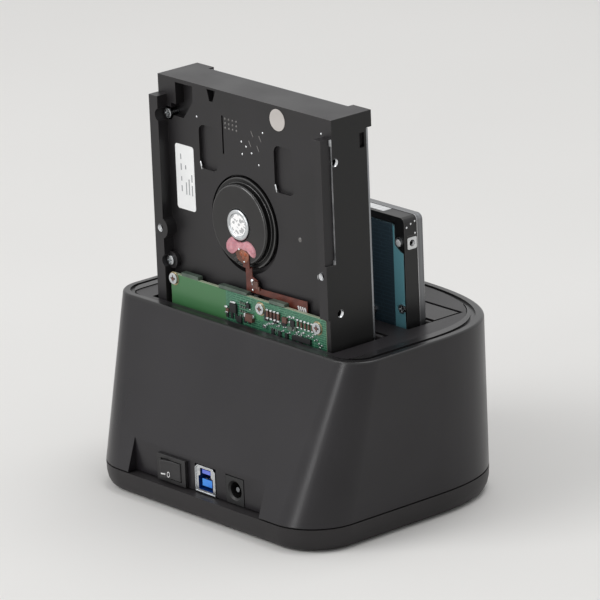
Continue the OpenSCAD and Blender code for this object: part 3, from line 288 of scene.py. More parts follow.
# Painted highlight: nearly white and barely metal, so that one screw head stays bright.
screw_head_highlight = plain_metal("painted_highlight_on_screw_head", "#f6f7f8", "#e2e4e6", (0.3, 0.42), metal=0.1)
black_steel = plain_metal("steel_black_oxide", "#434345", "#323234", (0.35, 0.5))
pin_steel = brushed_metal("steel_drawn_wire", "#bcbec0", "#a2a4a6")
spring_steel = plain_metal("steel_spring_wire", "#9a9da0", "#7f8285", (0.25, 0.35), 1.5)
tin_steel = plain_metal("steel_tin_plated", "#dfe1e3", "#c6c9cc", (0.16, 0.28), 2)
can_aluminium = plain_metal("aluminium_drawn_can", "#cfd2d5", "#bcbfc2")
contact_gold = plain_metal("phosphor_bronze_gold_plated", "#d9b25c", "#c09646", (0.18, 0.28), 1)
pad_tinned = plain_metal("copper_pad_tinned_dull", "#b5a784", "#98896a", (0.3, 0.42), 2)
terminal_brass = plain_metal("brass_tinned", "#cdb06a", "#b39655")
jack_nickel = plain_metal("brass_nickel_plated", "#8a8d90", "#777a7d", (0.2, 0.3), 2)
arm_aluminium = plain_metal("aluminium_machined_arm", "#bec1c5", "#a9acb0")
magnet_nickel = plain_metal("magnet_nickel_plated", "#94979b", "#7f8286", (0.12, 0.2))
disc_mirror = plain_metal("glass_disc_sputtered_mirror", "#e0e2e4", "#d3d5d7", (0.03, 0.06), 30)
cover_steel = brushed_metal("steel_pressed_cover", "#9b9da0", "#84878a", (20, 20, 1), 0.6, (0.34, 0.46))
small_cover_alu = brushed_metal("aluminium_brushed_cover", "#7f8082", "#6c6d6f", (20, 20, 1), 0.5,
                                (0.3, 0.42))
# The lid's rubbed rim is paler for wear and paler still as a painted highlight.
small_cover_rim_wear_and_highlight = plain_metal("aluminium_rubbed_rim_painted_highlight", "#d4d4d5", "#c0c1c3", (0.16, 0.26))
bare_aluminium = plain_metal("aluminium_bare_cut", "#e4e5e7", "#cfd1d3", (0.16, 0.28), 1.5)
# Painted highlight along the ledge of the rail: a pale, partly metal finish.
ledge_highlight_metal = plain_metal("painted_highlight_along_ledge", "#c2c3c5", "#77787a", (0.25, 0.45), 9, metal=0.2)
milled_aluminium = brushed_metal("aluminium_milled_face", "#dcddde", "#c4c6c8", (20, 1, 20), 0.4,
                                 (0.24, 0.36))
small_casting = spark_eroded_abs("aluminium_cast_black_coat", "#1a1a1b", "#131314", 0.5, (0.3, 0.42), 0.4)
print("metal finishes ready")

# %% [markdown]
# ## Painted casting
# The large drive is a die casting with a thin black dip coat. Molten metal leaves a faint orange
# peel, which the coat follows, and the coat thins on sharp edges. The bevel faces of each rounded
# edge get a second, paler material for that wear, which is also a painted highlight. Painted shade
# darkens the drive's sides, the wall of the motor's cup and the inside of its well.

# %% Painted casting
MOTOR_AXIS_MM = (2.9, 0, 112.9)
SHADED_WELL_MM = 22.5
SIDE_SHADE_FROM_MM = 50.6


def from_motor(tree, place, radius_mm, operation):
    """1 on one side of a circle round the motor's axis: the length of the place less the axis, without Y."""
    centred = add(tree, "VectorMath", {0: place, 1: tuple(-a * MM for a in MOTOR_AXIS_MM)}, operation="ADD")
    flat = add(tree, "VectorMath", {0: centred.outputs["Vector"], 1: (1, 0, 1)}, operation="MULTIPLY")
    away = add(tree, "VectorMath", {0: flat.outputs["Vector"]}, operation="LENGTH")
    within = add(tree, "Math", {0: away.outputs["Value"], 1: radius_mm * MM}, operation=operation)
    return within.outputs["Value"]


def dip_coat(name, light_hex, dark_hex, rough, specular=0.5, peel_mm=1.1, side_shade_hex=None, well=False):
    """Black coat with orange peel, a painted shade on the sides, and inside the motor's well a painted shade,
    near black and without sheen.
    """
    made, tree, shader, place = grained(name, {"IOR": 1.5, "Specular IOR Level": specular},
                                        light_hex, dark_hex, 26, rough, peel_mm, 0.012)
    # Painted shade: the sides, past a distance from the middle in X, are painted darker.
    if side_shade_hex:
        apart = add(tree, "SeparateXYZ", {"Vector": place})
        far = add(tree, "Math", {0: apart.outputs["X"]}, operation="ABSOLUTE")
        in_side_shade = add(tree, "Math", {0: far.outputs["Value"], 1: SIDE_SHADE_FROM_MM * MM},
                      operation="GREATER_THAN")
        repaint(tree, shader, in_side_shade.outputs["Value"], side_shade_hex)
    # Painted shade: inside the motor's well the colour goes near black and the sheen is taken out.
    if well:
        near = from_motor(tree, place, SHADED_WELL_MM, "LESS_THAN")
        repaint(tree, shader, near, "#0d0d0e")
        shine = add(tree, "Math", {0: near, 1: -specular, 2: specular}, operation="MULTIPLY_ADD")
        tree.links.new(shine.outputs["Value"], shader.inputs["Specular IOR Level"])
    return made


casting_coat = dip_coat("die_casting_black_dip_coat", "#222022", "#1b1a1b", (0.38, 0.48), 0.38,
                        side_shade_hex="#0d0d0d")
# The rubbed edge is paler for wear and paler still as a painted highlight.
casting_edge_wear_and_highlight = dip_coat("die_casting_rubbed_edge_painted_highlight", "#6a6866", "#4c4a48", (0.18, 0.28), 0.8, well=True)
motor_coat = dip_coat("steel_motor_black_coat", "#252424", "#1f1e1e", (0.3, 0.4), 0.5, 2.0)
motor_edge = dip_coat("steel_motor_polished_edge", "#2c2b2b", "#242323", (0.12, 0.18), 0.9, 2.0)


def cup_finish(name, shaded_wall_mm):
    """The motor's coat, with a painted shade, nearly black, on the turned wall past the given radius from the
    axis.
    """
    made, tree, shader, place = grained(name, {"IOR": 1.5, "Specular IOR Level": 0.35},
                                        "#272626", "#201f1f", 20, (0.34, 0.44), 2.0, 0.008)
    # Painted shade: the cup's wall is painted near black.
    repaint(tree, shader, from_motor(tree, place, shaded_wall_mm, "GREATER_THAN"), "#0e0e0e")
    return made


motor_finish = cup_finish("steel_motor_cup_black", 15.7)
print("casting finishes ready")

# %% [markdown]
# ## Printed circuit boards
# A board is glass laminate under a translucent lacquer. Where copper lies under the lacquer it looks
# lighter, so the tracks show as lines of a lighter tone. Bricks of two sizes give runs with right
# angled corners, and a slow noise chooses between the two sizes in patches.

# %% Printed circuit boards
def solder_mask(name, ground_hex, track_hex, past_split_hex, split_x_mm=None, pitch_mm=2.2, below=False,
                cut_hex="#b4bda4"):
    """Lacquered board: tracks from two brick grids, another colour past a split in X, and a pale cut edge."""
    made, tree, shader, place = finish_with(name, {"IOR": 1.5, "Roughness": 0.3, "Specular IOR Level": 0.45})
    upright = add(tree, "Mapping", {"Vector": place, "Rotation": (math.radians(90), 0, 0)})
    runs = [add(tree, "TexBrick", {
        "Vector": upright.outputs["Vector"], "Scale": per_metre(pitch_mm * scale),
        "Mortar Size": 0.07, "Mortar Smooth": 0.1, "Bias": 0.0, "Brick Width": 2.4, "Row Height": 0.55,
        "Color1": (0, 0, 0, 1), "Color2": (0, 0, 0, 1), "Mortar": (1, 1, 1, 1)},
        offset=0.37, squash=0.7).outputs["Color"] for scale in (1.0, 0.62)]
    patches = add(tree, "TexNoise", {"Vector": place, "Scale": per_metre(7), "Detail": 1.0})
    chosen = add(tree, "Math", {0: patches.outputs["Fac"], 1: 0.5}, operation="GREATER_THAN")
    tracks = add(tree, "Mix", {0: chosen.outputs["Value"], 6: runs[0], 7: runs[1]}, data_type="RGBA")
    shown = add(tree, "Mix", {0: tracks.outputs[2], 6: linear(ground_hex), 7: linear(track_hex)},
                data_type="RGBA")
    tree.links.new(shown.outputs[2], shader.inputs["Base Color"])
    if split_x_mm is not None:
        apart = add(tree, "SeparateXYZ", {"Vector": place})
        plain = add(tree, "Math", {0: apart.outputs["X"], 1: split_x_mm * MM},
                    operation="LESS_THAN" if below else "GREATER_THAN")
        repaint(tree, shader, plain.outputs["Value"], past_split_hex)
    facing = add(tree, "SeparateXYZ", {"Vector": add(tree, "TexCoord").outputs["Normal"]})
    level = add(tree, "Math", {0: facing.outputs["Y"]}, operation="ABSOLUTE")
    at_cut = add(tree, "Math", {0: level.outputs["Value"], 1: 0.8}, operation="LESS_THAN")
    repaint(tree, shader, at_cut.outputs["Value"], cut_hex)
    pitted(tree, shader, place, 0.8, 0.004)
    return made


dock_board = solder_mask("laminate_green_mask_dock", "#1d5238", "#2c7048", "#2c7048")
drive_board = solder_mask("laminate_green_mask_drive", "#2a6049", "#5d9476", "#43754a", 10.6, pitch_mm=1.7)
patch_green = solder_mask("laminate_green_over_copper", "#3f7f55", "#4a8a5e", "#3f7f55")
# Painted light and shade: past the split the board is a lit teal, and the rest a painted shade of slate where
# the large drive shades it.
small_board = solder_mask("laminate_blue_green_mask_painted_light", "#3b4d58", "#445a67", "#7fc3d1", -43.9, 3,
                          below=True, cut_hex="#8fb0bb")
small_board_rim = solder_mask("laminate_blue_green_rim", "#8fb0bb", "#9cbcc6", "#8fb0bb")
laminate_edge = spark_eroded_abs("laminate_cut_edge", "#a9b59c", "#8a9a80", 0.4, (0.5, 0.6))
print("board finishes ready")

# %% [markdown]
# ## Film, glue and paper
# The motor's wires leave on a film of polyimide, which is the colour of copper with the conductors
# showing through as finer lines. The joint is sealed with a pink glue that cures to a soft gloss,
# and a sticker of white paper covers the end of the spindle.

# %% Film, glue and paper
def polyimide_film(name):
    """Amber film over copper lines 0.5 mm apart, seen through it as a slightly lighter tone."""
    made, tree, shader, place = finish_with(name, {"IOR": 1.5, "Roughness": 0.32, "Specular IOR Level": 0.4})
    lines = add(tree, "TexWave", {"Vector": place, "Scale": per_metre(0.5) / 20, "Distortion": 0.0},
                wave_type="BANDS", bands_direction="DIAGONAL")
    tint = add(tree, "Mix", {0: lines.outputs["Fac"], 6: linear("#52241a"), 7: linear("#602d22")},
               data_type="RGBA")
    tree.links.new(tint.outputs[2], shader.inputs["Base Color"])
    pitted(tree, shader, place, 2.0, 0.02)
    return made


def cured_glue(name):
    """Pink sealant: a little light passes into it, and its skin is glossy with small ripples."""
    return grained(name, {"IOR": 1.45, "Subsurface Weight": 0.25, "Subsurface Radius": (0.9, 0.4, 0.35),
                          "Subsurface Scale": 0.0012}, "#d59aa2", "#bd7f8a", 3, (0.2, 0.34), 1.2, 0.05)[0]


def sticker_paper(name, light_hex, dark_hex):
    """Coated white paper, almost matt, with a fibre grain too fine to see except where light grazes."""
    return grained(name, {"IOR": 1.45, "Specular IOR Level": 0.3}, light_hex, dark_hex, 9, (0.5, 0.62),
                   0.5, 0.006)[0]


def speckled(name, paper_hex, speck_hex, speck_mm):
    """White paper with faint specks: cells whose own random value is high are tinted."""
    made, tree, shader, place = finish_with(name, {"IOR": 1.45, "Roughness": 0.55, "Specular IOR Level": 0.3})
    cells = add(tree, "TexVoronoi", {"Vector": place, "Scale": per_metre(speck_mm)}, feature="F1")
    split = add(tree, "SeparateColor", {"Color": cells.outputs["Color"]})
    chosen = add(tree, "Math", {0: split.outputs["Red"], 1: 0.68}, operation="GREATER_THAN")
    tint = add(tree, "Mix", {0: chosen.outputs["Value"], 6: linear(paper_hex), 7: linear(speck_hex)},
               data_type="RGBA")
    tree.links.new(tint.outputs[2], shader.inputs["Base Color"])
    pitted(tree, shader, place, 0.5, 0.006)
    return made


flex_film = polyimide_film("polyimide_film_copper_lines")
glue_pink = cured_glue("silicone_pink_cured")
label_paper = sticker_paper("paper_white_label", "#f2f3f3", "#ebecec")
seal_paper = sticker_paper("paper_warm_white_seal", "#c3beba", "#b9b4b0")
led_resin = polished_plastic("epoxy_clear_lens", "#efeee0", "#e2e1d2", (0.15, 0.25))
flux_brown = polished_plastic("flux_brown_dried", "#9a5d44", "#5f3626", (0.2, 0.4))
amber_flux = polished_plastic("flux_amber_dried", "#a8552f", "#7c3a22", (0.15, 0.28))
speckled_paper = speckled("paper_white_disc", "#ffffff", "#b9babb", 0.9)
print("film, glue and paper ready")

# %% [markdown]
# ## Edges that catch the light
# A CAD solid has perfectly sharp edges, and no moulded or cast edge is. A copy of each node has its
# flat triangles merged back into whole faces, and a bevel of a few tenths of a millimetre runs along
# every corner. The copy stands for the node, and lies exactly where it does.

# %% Edges that catch the light
MERGED_DEGREES = 0.6
SHARP_DEGREES = 32


def shade(shape, degrees):
    """Smooth faces, with a hard edge wherever two of them meet at more than an angle."""
    for face in shape.faces:
        face.smooth = True
    for edge in shape.edges:
        edge.smooth = len(edge.link_faces) == 2 and edge.calc_face_angle(0) < math.radians(degrees)


def round_edges(piece, width_mm, segments, degrees):
    """A bevel along every edge that is sharper than an angle."""
    bevel = piece.modifiers.new("rounding", "BEVEL")
    bevel.width = width_mm * MM
    bevel.segments = segments
    bevel.limit_method = "ANGLE"
    bevel.angle_limit = math.radians(degrees)
    return bevel


print("edges sharper than", SHARP_DEGREES, "degrees are rounded")

# %% [markdown]
# ## A skin over a node
# The bevel's own faces take the second finish. Wide faces keep their own normal after it, so that
# a flat wall still shades as a flat wall beside its rounded corner.


def skin_of(node, piece_name, width_mm, finish, edge_finish):
    """A joined copy of a CAD node with its sharp edges rounded by width_mm, riding on the node's body."""
    source = NODES[node]
    mesh = bpy.data.meshes.new(piece_name)
    shape = bmesh.new()
    shape.from_mesh(source.data)
    bmesh.ops.remove_doubles(shape, verts=shape.verts, dist=1e-6)
    bmesh.ops.dissolve_limit(shape, angle_limit=math.radians(MERGED_DEGREES), verts=shape.verts,
                             edges=shape.edges)
    shade(shape, SHARP_DEGREES)
    for face in shape.faces:
        face.material_index = 0
    shape.to_mesh(mesh)
    shape.free()
    piece = stood(piece_name, mesh)
    mesh.materials.append(finish)
    mesh.materials.append(edge_finish or finish)
    bevel = round_edges(piece, width_mm, 2, SHARP_DEGREES)
    bevel.use_clamp_overlap = True
    bevel.harden_normals = True
    bevel.material = 1
    bevel.miter_outer = "MITER_ARC"
    weighted = piece.modifiers.new("wide faces keep their own normal", "WEIGHTED_NORMAL")
    weighted.mode = "FACE_AREA"
    weighted.weight = 90
    weighted.keep_sharp = True
    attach(piece, source["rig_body"])
    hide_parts(node)
    return piece


# %% [markdown]
# ## The rounded pieces
# Each row names a node and its new piece, with the rounding of its edges and one or two finishes.
# The second finish is for the edges, where it differs because hands and tools have rubbed it; on
# the housing, the casting and the small lid it is paler still as a painted highlight.

# %% The rounded pieces
ROUNDED = [
    # node, piece, rounding in mm, finish, finish of the rounded edge
    ("upper_shell", "housing", 0.3, housing_abs, housing_edge_wear_and_highlight),
    ("base_plate", "base_tray", 0.3, base_abs, housing_edge_wear_and_highlight),
    ("rubber_feet", "feet", 0.5, feet_rubber, None),
    ("bay_frame", "top_plate_and_bays", 0.3, frame_abs, housing_edge_wear_and_highlight),
    ("rear_large_door", "rear_door_wide", 0.3, door_abs, housing_edge_wear_and_highlight),
    ("rear_small_door", "rear_door_narrow", 0.25, door_abs, housing_edge_wear_and_highlight),
    ("front_large_door", "front_door_wide", 0.3, door_abs, housing_edge_wear_and_highlight),
    ("front_small_door", "front_door_narrow", 0.25, door_abs, housing_edge_wear_and_highlight),
    ("switch_frame", "switch_bezel", 0.3, switch_plastic, None),
    ("rocker", "rocker_button", 0.35, rocker_plastic, None),
    ("usb_shell", "data_socket_shell", 0.1, tin_steel, None),
    ("usb_insulator", "data_socket_insert", 0.12, socket_blue, None),
    ("jack_housing", "power_jack_body", 0.25, jack_plastic, None),
    ("rear_receptacle", "rear_drive_socket", 0.15, plug_plastic, None),
    ("front_receptacle", "front_drive_socket", 0.15, plug_plastic, None),
    ("large_drive_base", "large_drive_casting", 0.35, casting_coat, casting_edge_wear_and_highlight),
    ("large_drive_cover", "large_drive_lid", 0.3, cover_steel, None),
    ("large_drive_board", "large_drive_circuit_board", 0.2, drive_board, laminate_edge),
    ("large_drive_chips", "large_drive_board_parts", 0.1, chip_resin, None),
    ("large_drive_plug", "large_drive_connector", 0.15, plug_plastic, None),
    ("large_drive_motor", "large_drive_motor_cup", 0.3, motor_finish, motor_edge),
    ("large_drive_hub", "large_drive_hub_cap", 0.2, zinc_steel, None),
    ("small_drive_base", "small_drive_casting", 0.25, small_casting, casting_edge_wear_and_highlight),
    ("small_drive_cover", "small_drive_lid", 0.45, small_cover_alu, small_cover_rim_wear_and_highlight),
    ("small_drive_board", "small_drive_circuit_board", 0.3, small_board, small_board_rim),
    ("small_drive_plug", "small_drive_connector", 0.12, plug_plastic, None),
    ("large_drive_screws", "large_drive_face_screws", 0.12, zinc_steel, None),
    ("small_drive_screws", "small_drive_face_screws", 0.08, zinc_steel, None),
    ("large_drive_cover_screws", "large_drive_lid_screws", 0.12, zinc_steel, None),
]
pieces = {}
for node, piece_name, width_mm, finish, edge_finish in ROUNDED:
    pieces[piece_name] = skin_of(node, piece_name, width_mm, finish, edge_finish)
print("rounded pieces:", len(pieces))

# %% [markdown]
# ## Two corrections to the large drive
# The well round the motor is cast a little eccentric, so its wall closes in on the far side, and
# the screw in the corner pocket stands on a taller boss than the others. Both are small moves of
# whole sets of points.

# %% Two corrections to the large drive
WELL_WALL_MM, WELL_NEAR_MM = 20.8, 18.55
POCKET_SCREW_MM = (44.9, 149.6)


def read_points(piece):
    """The vertices of a piece as one array of rows x, y, z in millimetres."""
    flat = np.empty(3 * len(piece.data.vertices))
    piece.data.vertices.foreach_get("co", flat)
    return flat.reshape(-1, 3) / MM


def write_points(piece, points):
    """Moves the vertices of a piece to the rows of an array in millimetres."""
    piece.data.vertices.foreach_set("co", (points * MM).ravel())
    piece.data.update()


def narrow_well(piece, axis, wall_r, near_r):
    """The wall closes in on the far side: radius = near + (wall - near) * s, with s = t * t * (3 - 2 t)."""
    points = read_points(piece)
    away = points[:, [0, 2]] - axis
    radius = np.linalg.norm(away, axis=1)
    on_wall = np.abs(radius - wall_r) < 0.1
    share = (1 - away[:, 0] / np.maximum(radius, 1e-6)) / 2
    wanted = near_r + (wall_r - near_r) * share ** 2 * (3 - 2 * share)
    moved = axis + away * (wanted / np.maximum(radius, 1e-6))[:, None]
    points[:, [0, 2]] = np.where(on_wall[:, None], moved, points[:, [0, 2]])
    write_points(piece, points)
    return int(on_wall.sum())


def raise_head(piece, axis, reach, head_mm, lift):
    """Points within reach of an axis, down to head_mm below the topmost of them, move out by lift."""
    points = read_points(piece)
    near = np.linalg.norm(points[:, [0, 2]] - axis, axis=1) < reach
    head = near & (points[:, 1] > points[near, 1].max() - head_mm)
    points[:, 1] = np.where(head, points[:, 1] + lift, points[:, 1])
    write_points(piece, points)
    return int(head.sum())


raised = raise_head(pieces["large_drive_face_screws"], np.array(POCKET_SCREW_MM), 3, 2.2, 4.4)
moved = narrow_well(pieces["large_drive_casting"], np.array(MOTOR_AXIS_MM)[[0, 2]], WELL_WALL_MM,
                    WELL_NEAR_MM)
print("points of the well moved:", moved, "points of the screw's head raised:", raised)

# %% [markdown]
# ## Finishes for the rest of the frame
# Pieces that are round already, or that stand inside, keep their CAD mesh and only get their finish.

# %% Finishes for the rest of the frame
PLAIN = {
    pin_steel: "large_door_pins rear_small_pin front_small_pin",
    spring_steel: "large_door_springs rear_small_spring front_small_spring",
    contact_gold: "receptacle_contacts usb_contacts jack_spring",
    chip_resin: "bridge_chip board_chips board_inductors",
    dock_board: "main_board",
    can_aluminium: "board_capacitors",
    jack_nickel: "jack_pin",
    terminal_brass: "switch_terminals",
    zinc_steel: "board_screws",
    black_steel: "housing_screws frame_screws",
    clear_pipe: "light_pipe",
    led_resin: "status_led",
    flex_film: "large_drive_flex",
    label_paper: "large_drive_label",
    seal_paper: "large_drive_seal",
    magnet_nickel: "large_drive_magnets",
    disc_mirror: "large_drive_platters small_drive_platter",
    arm_aluminium: "large_drive_arm small_drive_arm",
}
for finish, nodes in PLAIN.items():
    for node in nodes.split():
        part = NODES[node]
        if not part.material_slots:
            part.data.materials.append(None)
        for slot in part.material_slots:
            slot.material = finish
done = set(" ".join(PLAIN.values()).split()) | {row[0] for row in ROUNDED} | {"large_drive_glue"}
print("nodes without a finish:", sorted(set(NODES) - done))

# %% [markdown]
# ## Surfaces from arrays
# The small things that follow are too fine for the solids: solder, parts on the boards, threads,
# cured glue. Each is a surface worked out as whole arrays of points. A grid of points becomes a
# skin of quads, a profile turned round an axis becomes a ring, and one list of middles and sizes
# becomes any number of blocks. Lengths here are in millimetres, counted from the corner where each
# drive stands in its bay, so that a reading from a drawing of the drive can be used as it is.

# %% Surfaces from arrays
def net(rows, columns, around=False):
    """Quads of a grid of points: each point joins its neighbour in the row and in the next row."""
    row, column = np.meshgrid(np.arange(rows - 1), np.arange(columns if around else columns - 1),
                              indexing="ij")
    after = (column + 1) % columns
    corners = (row * columns + column, row * columns + after,
               (row + 1) * columns + after, (row + 1) * columns + column)
    return np.stack(corners, -1).reshape(-1, 4)


def blocks(middles, sizes, turns=0.0):
    """Boxes: each corner is the middle plus or minus half the size, turned by its angle about Y."""
    middles = np.atleast_2d(np.asarray(middles, float))
    signs = np.array([[x, y, z] for x in (-1, 1) for y in (-1, 1) for z in (-1, 1)], float)
    half = np.broadcast_to(np.asarray(sizes, float), middles.shape)[:, None, :] / 2 * signs
    turn = np.radians(np.broadcast_to(turns, len(middles)))[:, None]
    corners = np.stack([half[..., 0] * np.cos(turn) - half[..., 2] * np.sin(turn), half[..., 1],
                        half[..., 0] * np.sin(turn) + half[..., 2] * np.cos(turn)], -1)
    sides = np.array([[0, 1, 3, 2], [4, 6, 7, 5], [0, 4, 5, 1], [2, 3, 7, 6], [0, 2, 6, 4], [1, 5, 7, 3]])
    faces = sides + 8 * np.arange(len(middles))[:, None, None]
    return (corners + middles[:, None, :]).reshape(-1, 3), faces.reshape(-1, 4)


def turned(profile, centre, facing="y", steps=32):
    """A lathe: a profile point (r, h) goes round its axis through (r cos a, h, r sin a)."""
    radius, height = np.asarray(profile, float).T[:, :, None]
    angle = np.linspace(0, 2 * np.pi, steps, endpoint=False)
    across, side, along = radius * np.cos(angle), radius * np.sin(angle), height + 0 * angle
    order = {"y": (across, along, side), "x": (along, across, side)}[facing]
    return np.stack(order, -1).reshape(-1, 3) + np.asarray(centre, float), net(len(profile), steps, True)


def together(shapes):
    """Several surfaces as one: the faces of each are counted on from the points before it."""
    counts = np.cumsum([0] + [len(points) for points, _ in shapes])
    return (np.concatenate([points for points, _ in shapes]),
            np.concatenate([faces + first for (_, faces), first in zip(shapes, counts)]))


print("corners of one block:", len(blocks([0, 0, 0], [1, 1, 1])[0]))

# %% [markdown]
# ## Profiles for the lathe
# A drop, a flat disc and a flat ring cover nearly everything round that follows. Solder and glue
# stand as domes because surface tension draws any small puddle towards the shape of a lens.

# %% Profiles for the lathe
def lens(radius, height, steps=6):
    """Profile of a drop: r = R sin t and h = H cos t, from the top down to the rim, then closed."""
    t = np.linspace(0, np.pi / 2, steps)
    return [*zip(radius * np.sin(t), height * np.cos(t)), (0, 0)]


def disc(radius, thick):
    """Profile of a flat disc, from the middle of its underside round to the middle of its top."""
    return [(0, 0), (radius, 0), (radius, thick), (0, thick)]


def ring(inner, outer, thick):
    """Profile of a flat ring: a rectangle that stands off the axis, walked once round."""
    return [(inner, 0), (outer, 0), (outer, thick), (inner, thick), (inner, 0)]


def domes(rows, facing="y", steps=6):
    """Several drops as one surface, each from its radius, its height, its place and its count of sides."""
    return together([turned(lens(radius, height, steps), place, facing, sides)
                     for radius, height, place, sides in rows])


print("points on a drop's profile:", len(lens(1, 1)))

# %% [markdown]
# ## From points to pieces
# Each surface becomes a mesh with its faces turned outwards, and rides on the body of the node it
# belongs to, so that it moves with it. The drives' own pieces are counted from where each stands.

# %% From points to pieces
def piece_of(name, shape, finish, like, origin=(0, 0, 0), rounding_mm=0.0, smooth=35):
    """A mesh from points in millimetres: doubles merged, faces turned outwards, on the body of `like`."""
    points, faces = shape
    mesh = bpy.data.meshes.new(name)
    mesh.from_pydata(((points + np.asarray(origin)) * MM).tolist(), [], faces.tolist())
    work = bmesh.new()
    work.from_mesh(mesh)
    bmesh.ops.remove_doubles(work, verts=work.verts, dist=2e-6)
    bmesh.ops.recalc_face_normals(work, faces=work.faces)
    shade(work, smooth)
    work.to_mesh(mesh)
    work.free()
    mesh.materials.append(finish)
    piece = stood(name, mesh)
    if rounding_mm:
        round_edges(piece, rounding_mm, 1, smooth)
    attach(piece, NODES[like]["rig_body"])
    pieces[name] = piece
    return piece


def seat_of(node):
    """Where a drive is counted from: middle of its width, board side, plug end; then its length, in mm."""
    low, high = np.array(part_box(node)) / MM
    return np.array([(low[0] + high[0]) / 2, high[1], low[2]]), high[2] - low[2]


def on_large(name, shape, finish, part, **rest):
    """A piece that belongs to one node of the large drive."""
    return piece_of(name, shape, finish, "large_drive_" + part, LARGE, **rest)


def on_small(name, shape, finish, part, **rest):
    """A piece that belongs to one node of the small drive."""
    return piece_of(name, shape, finish, "small_drive_" + part, SMALL, **rest)


LARGE, LARGE_LENGTH = seat_of("large_drive_base")
SMALL, SMALL_LENGTH = seat_of("small_drive_base")
LARGE_HALF, SMALL_HALF = 50.8, 34.925
print("large drive from", LARGE.round(2), "small drive from", SMALL.round(2), "mm")

# %% [markdown]
# ## Small parts on the large drive's board
# The strip of board that shows above the bay carries a driver chip, rows of ceramic capacitors
# with tinned ends, a coil and many pads. On the real board each is soldered by machine, square to
# the edge. One block each is enough at this size, with a chamfer that catches the light, and one
# mesh for each finish keeps the count of pieces low.

# %% Small parts on the large drive's board
BOARD_Y = -1.0
CAP_ROW = [-14.6, -16.7, -18.8, -20.9]
PAD_ROW = [-32.0, -34.1, -36.2, -38.3, -40.4]


def board_piece(name, rows, finish, turns=0.0, rounding_mm=0.08):
    """One mesh of blocks from rows of x, z, width, height and how far each stands out."""
    x, z, wide, tall, proud = np.array(rows, float).T
    middles = np.stack([x, BOARD_Y + proud / 2, z], -1)
    return on_large(name, blocks(middles, np.stack([wide, proud, tall], -1), turns), finish, "chips",
                    rounding_mm=rounding_mm)


def in_row(places, *rest):
    """The same part at each of several places along the board."""
    return [(x, *rest) for x in places]


board_piece("board_driver_chips", [
    (5.7, 61.5, 3.8, 3.6, 1.1), (-3.0, 64.2, 1.9, 1.8, 0.9), (-34.8, 57.4, 9.2, 2.0, 1.0),
    (2.6, 57.5, 3.0, 2.4, 0.8)], chip_resin)
board_piece("board_ceramic_bodies",
            in_row(CAP_ROW, 63.6, 1.15, 2.6, 0.9) + in_row(PAD_ROW, 63.2, 0.95, 2.0, 0.6)
            + [(-24.7, 63.2, 2.6, 2.2, 1.0), (-4.1, 59.7, 4.2, 3.0, 1.5), (9.4, 60.0, 1.6, 1.4, 0.8)],
            ceramic_brown)
board_piece("board_ceramic_ends",
            in_row(CAP_ROW, 65.3, 1.35, 0.75, 0.95) + in_row(CAP_ROW, 61.9, 1.35, 0.7, 0.95)
            + in_row(PAD_ROW, 64.9, 1.3, 0.75, 0.7) + in_row(PAD_ROW, 61.8, 1.2, 0.5, 0.65)
            + [(5.8, 63.9, 3.0, 0.7, 0.8), (9.9, 61.3, 1.7, 0.8, 0.9), (9.9, 59.0, 1.7, 0.7, 0.8),
               (-1.9, 60.6, 0.8, 1.6, 1.6), (-6.4, 60.6, 0.7, 1.2, 1.2), (-12.9, 58.2, 2.0, 1.3, 1.1),
               (-43.9, 57.6, 0.9, 0.9, 0.5), (-45.4, 57.2, 0.9, 0.9, 0.5), (-44.4, 56.2, 0.9, 0.7, 0.5),
               (-2.5, 65.5, 0.6, 0.5, 0.5), (-4.0, 63.0, 0.6, 0.5, 0.5)],
            tin_steel)
board_piece("board_grey_parts",
            [(x, z, 0.8, 0.9, 0.6) for x in (1.7, 0.3, -0.9) for z in (59.4, 61.2, 63.0, 64.6)]
            + [(-27.4, 60.4, 2.6, 1.6, 0.7), (-30.6, 61.0, 1.2, 1.4, 0.7)], ceramic_grey)
board_piece("board_fine_leads", in_row(np.arange(-16.4, -22.5, -1.25), 57.4, 0.42, 2.3, 0.35),
            tin_steel, turns=-24.0, rounding_mm=0)
print("places in the rows of capacitors:", len(CAP_ROW) + len(PAD_ROW))

# %% [markdown]
# ## Pads and the hidden part of the board
# Bare pads lie between the parts. Below the rim of the bay the board goes on, and there the small
# parts are strewn by a seeded generator, in the way that a real layout fills it.

# %% Pads and the hidden part of the board
PAD_SPOTS = [(-16.9, 60.0), (-18.8, 60.7), (-20.7, 59.9), (-24.6, 60.4), (-27.1, 62.9), (-29.3, 62.2),
             (-26.8, 58.4), (-32.1, 60.0), (-35.0, 60.2), (-37.9, 59.6), (-40.2, 59.7), (-27.2, 65.0),
             (-29.5, 65.2), (-22.9, 61.7), (-14.9, 59.6), (-31.0, 58.8), (-41.9, 61.2), (-42.6, 58.9),
             (-23.2, 58.4), (-28.9, 60.0), (-33.6, 58.9)]
board_piece("board_pads", [(x, z, 1.0, 0.8, 0.35) for x, z in PAD_SPOTS]
            + [(x + 1.3, z - 0.5, 0.6, 0.5, 0.3) for x, z in PAD_SPOTS], tin_steel, rounding_mm=0.06)
strewn = np.random.default_rng(7)
hidden_x, hidden_z = np.meshgrid(np.arange(-42, 40, 3.2), np.arange(12, 54, 3.6))
hidden_x = (hidden_x + strewn.uniform(-0.8, 0.8, hidden_x.shape)).ravel()
hidden_z = (hidden_z + strewn.uniform(-0.9, 0.9, hidden_z.shape)).ravel()
free = strewn.random(hidden_x.size) < 0.55
big_parts = [(-15, 1, 29, 45), (-37, -25, 33, 51), (9, 25, 15, 27), (-39, -29, 15, 25),
             (0, 44, 0, 12), (-51, -42, 36, 46)]
for x0, x1, z0, z1 in big_parts:
    free &= ~((hidden_x > x0) & (hidden_x < x1) & (hidden_z > z0) & (hidden_z < z1))
